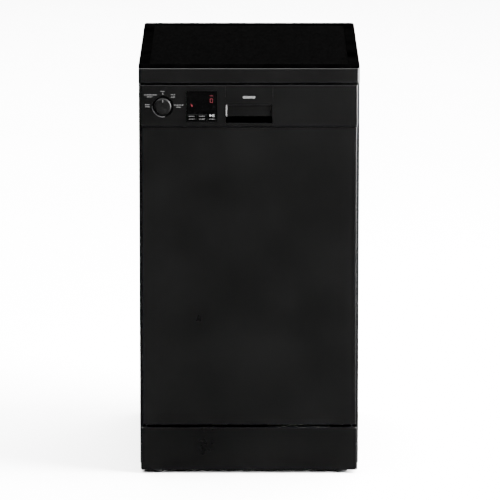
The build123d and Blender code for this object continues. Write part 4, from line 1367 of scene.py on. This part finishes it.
@dataclass
class PocketShadeLining:
    """A matt black lining in the pocket behind the lever: painted shade, dark sheets that stand in for the
    pocket's shadow.
    """

    half_width: float = 46.9
    floor: float = 730.05
    top: float = 767.0
    front: float = -291.0
    back: float = -266.05
    thickness: float = 0.5
    end_height: float = 13.0

    def build(self) -> None:
        """Line the pocket's back, floor and two ends."""
        x, y, z, t = self.half_width, (self.front, self.back), (self.floor, self.top), self.thickness
        low_end = self.floor + self.end_height
        sheets = [
            slab((-x, y[1] - t, z[0]), (x, y[1], z[1]), 0.1, 1),
            slab((-x, y[0], z[0]), (x, y[1], z[0] + t), 0.1, 1),
            slab((-x, y[0], z[0]), (-x + t, y[1], low_end), 0.1, 1),
            slab((x - t, y[0], z[0]), (x, y[1], low_end), 0.1, 1),
        ]
        # The black sheets are painted shade for the dark pocket behind the lever.
        fit(join(sheets, "pocket_painted_shade"), EDGING, "door", "fascia_plastic")


@dataclass
class RearStampings:
    """The swages and vent hoods pressed into the rear panel, above and below its raised field."""

    skin: float = 293.2
    swage_half: float = 168.0
    swage_rise: float = 3.5
    swage_levels: tuple[float, ...] = (212.0, 758.0)
    hood: tuple[float, float, float] = (46.0, 2.6, 5.0)
    hood_columns: tuple[float, ...] = (-120.0, -60.0, 0.0, 60.0, 120.0)
    hood_levels: tuple[float, ...] = (168.0, 180.0, 192.0)

    def build(self) -> None:
        """Press one swage and one hood, and copy each to its places."""
        first = self.swage_levels[0]
        swage = slab((-self.swage_half, self.skin - 1.0, first - self.swage_rise),
                     (self.swage_half, self.skin + 2.4, first + self.swage_rise), 1.6, 3)
        pieces = [swage, *[copy_of(swage, (0.0, 0.0, level - first)) for level in self.swage_levels[1:]]]
        wide, deep, tall = self.hood
        left, low = self.hood_columns[0], self.hood_levels[0]
        hood = slab((left - wide / 2, self.skin - 0.8, low - tall / 2),
                    (left + wide / 2, self.skin + deep, low + tall / 2), 1.2, 3)
        pieces.append(hood)
        for column in self.hood_columns:
            for level in self.hood_levels:
                if (column, level) != (left, low):
                    pieces.append(copy_of(hood, (column - left, 0.0, level - low)))
        stampings = join(pieces, "rear_stampings")
        smooth(stampings)
        fit(stampings, PRIMED, "cabinet", "rear_paint")


@dataclass
class DispenserTrim:
    """The rinse-aid level window on the dispenser's deck: a ring and its lens."""

    centre: tuple[float, float] = (42.0, 492.0)
    deck: float = -241.8

    def build(self) -> None:
        """Turn the window's ring and its domed lens."""
        x, z = self.centre
        ring = turned([(6.2, -0.5), (9.0, -0.5), (9.0, 0.7), (8.4, 1.3), (6.8, 1.3), (6.2, 0.7), (6.2, -0.5)],
                      (x, self.deck, z), Axis.Y, 36)
        fit(named(ring, "level_ring"), GREY_PP, "door", "grey_plastic")
        dome = [(0, -0.4), (6.1, -0.4), (6.1, 0.2), (4.0, 0.7), (0, 0.9)]
        lens = turned(dome, (x, self.deck, z), Axis.Y, 36)
        fit(named(lens, "level_lens"), ACRYLIC, "door", "grey_plastic")


@dataclass
class ProgrammeKnob:
    """The programme knob: a turned cap with a soft edge, fine grip ribs and a pointer."""

    node: str = "programme_knob"
    radius: float = 17.3
    ribs: int = 60
    rib_half: float = 0.22
    lip_radius: float = 21.3
    lip_wire: float = 0.55
    lip_arc: tuple[float, float] = (178.0, 282.0)
    pointer: tuple[float, float] = (8.5, 14.5)

    def lip(self, x: float, y: float, z: float) -> None:
        """Raise a lighter-coloured crescent at the lower left of the dish that the knob stands in: a painted
        highlight where the dish's rim would catch the light.

        Args:
            x: The knob's axis across the machine.
            y: The middle of the crescent, just inside the fascia's face.
            z: The knob's axis up the machine.
        """
        angles = [math.radians(a) for a in evenly(*self.lip_arc, 24)]
        arc = [(x + self.lip_radius * math.cos(a), y, z + self.lip_radius * math.sin(a)) for a in angles]
        crescent = wire(arc, self.lip_wire, sides=3)
        smooth(crescent, 60)
        fit(named(crescent, "dial_lip_painted_highlight"), LIP_HIGHLIGHT_ABS, "door", "fascia_plastic")

    def build(self) -> None:
        """Turn the cap, set the ribs round it and inlay the pointer."""
        low, high = node_box(self.node)
        x, _, z = middle(self.node)
        cap = [(0, 0.15), (11.0, 0.15), (13.6, 0.1), (15.2, 0.3), (16.4, 1.0), (17.0, 2.0), (17.1, 3.0),
               (17.1, 7.8), (5.0, 8.0), (5.0, high.y - low.y), (3.05, high.y - low.y), (3.05, 6.0), (0, 6.0)]
        pieces = [turned(cap, (x, low.y, z), Axis.Y, 72)]
        rib = slab((-self.rib_half, low.y + 2.4, self.radius - 0.6),
                   (self.rib_half, low.y + 7.8, self.radius))
        grip = join(ring_of(rib, self.ribs, Axis.Y), "knob_ribs")
        grip.location = (x * MM, 0.0, z * MM)
        apply_place(grip)
        pieces.append(grip)
        fit(join(pieces, "knob_cap"), KNOB_ABS, self.node, "knob_plastic", self.node)
        # The crescent is a painted highlight: a light bead on the lower-left arc of the dish only.
        self.lip(x, front_of("control_panel") + 0.5, z)
        inner, outer = self.pointer
        pointer = slab((x - 0.5, low.y, z + inner), (x + 0.5, low.y + 0.5, z + outer), 0.1, 1)
        fit(named(pointer, "knob_pointer"), INK, self.node, "knob_plastic")


# ---------------------------------------------------------------- studio
@dataclass(frozen=True)
class Softbox:
    """One soft area light: where it stands and looks, and how large it is, in metres; its power in watts."""

    name: str
    place: tuple[float, float, float]
    size: tuple[float, float]
    power: float
    target: tuple[float, float, float]

    def build(self) -> None:
        """Add the light and turn it to its target."""
        lamp = bpy.data.lights.new(self.name, "AREA")
        lamp.shape = "RECTANGLE"
        lamp.size, lamp.size_y = self.size
        lamp.energy = self.power
        holder = bpy.data.objects.new(self.name, lamp)
        bpy.context.scene.collection.objects.link(holder)
        holder.location = self.place
        direction = Vector(self.target) - Vector(self.place)
        holder.rotation_euler = direction.to_track_quat("-Z", "Y").to_euler()


SOFTBOXES = (
    Softbox("overhead_softbox", (0.0, 3.1, 4.6), (10.0, 10.0), 7600.0, (0.0, 3.1, 0.0)),
    Softbox("right_softbox", (3.0, -0.9, 1.6), (2.2, 2.8), 2700.0, (0.0, -0.3, 0.6)),
    Softbox("front_softbox", (-1.0, -6.0, 3.6), (4.0, 2.0), 200.0, (0.0, -0.3, 0.5)),
)


@dataclass
class Studio:
    """Pale floor, dim sky, soft lights and the camera. Distances are in metres and the pitch in degrees."""

    lens_mm: float = 355.18
    distance: float = 9.849
    height: float = 2.355
    pitch: float = 10.8405
    sideways: float = 0.0018
    sensor_mm: float = 36.0
    floor_size: float = 60.0
    sky_strength: float = 0.02

    def build(self) -> None:
        """Add the floor, the lights and the camera."""
        self.floor()
        self.world()
        for light in SOFTBOXES:
            light.build()
        self.camera()

    def floor(self) -> None:
        """Add the plain pale floor."""
        deselect()
        bpy.ops.mesh.primitive_plane_add(size=self.floor_size, location=(0.0, 0.0, 0.0))
        floor = bpy.context.object
        floor.name = "studio_floor"
        # Painted studio floor: flat and nearly white.
        paint = Finish("pale_floor_paint", "#f0f0f0", "#f4f4f4", 0.9, mottle_mm=900, grain_mm=40,
                       depth_mm=0.0, specular=0.0)
        dress(floor, paint)
        # The floor stays out of glossy reflections, as if dark cloths lay round the machine.
        floor.visible_glossy = False

    def world(self) -> None:
        """Add a dim even sky, so that no side is lost in the dark."""
        world = bpy.data.worlds.new("studio_world")
        world.use_nodes = True
        sky = world.node_tree.nodes["Background"]
        sky.inputs["Color"].default_value = linear("#ffffff")
        sky.inputs["Strength"].default_value = self.sky_strength
        bpy.context.scene.world = world

    def camera(self) -> None:
        """Add the camera, level across and looking down at the door."""
        lens = bpy.data.cameras.new("studio_camera")
        lens.sensor_width = self.sensor_mm
        lens.lens = self.lens_mm
        lens.clip_end = 200.0
        holder = bpy.data.objects.new("studio_camera", lens)
        bpy.context.scene.collection.objects.link(holder)
        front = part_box("worktop_front_strip")[0].y
        holder.location = (self.sideways, front - self.distance, self.height)
        holder.rotation_euler = (math.radians(90 - self.pitch), 0.0, 0.0)
        bpy.context.scene.camera = holder


def main() -> None:
    """Build every sub-assembly in order and report each piece."""
    logging.basicConfig(level=logging.INFO, format="%(message)s")
    Studio().build()
    CarriedFrame().dress()
    PrintedMarks().build()
    Display().build()
    ProgrammeKnob().build()
    PocketShadeLining().build()
    UpperBasket().build(WIRE_NYLON)
    LowerBasket().build(WIRE_NYLON)
    FoldingTines().build()
    CutleryBasket().build()
    SprayArm("upper_spray_arm", 502.0).build()
    SprayArm("lower_spray_arm", 204.0).build()
    Running().build()
    ServiceCaps().build()
    DoorSeal().build()
    BalanceSprings().build()
    Hardware().build()
    RearStampings().build()
    DispenserTrim().build()


if __name__ == "__main__":
    main()
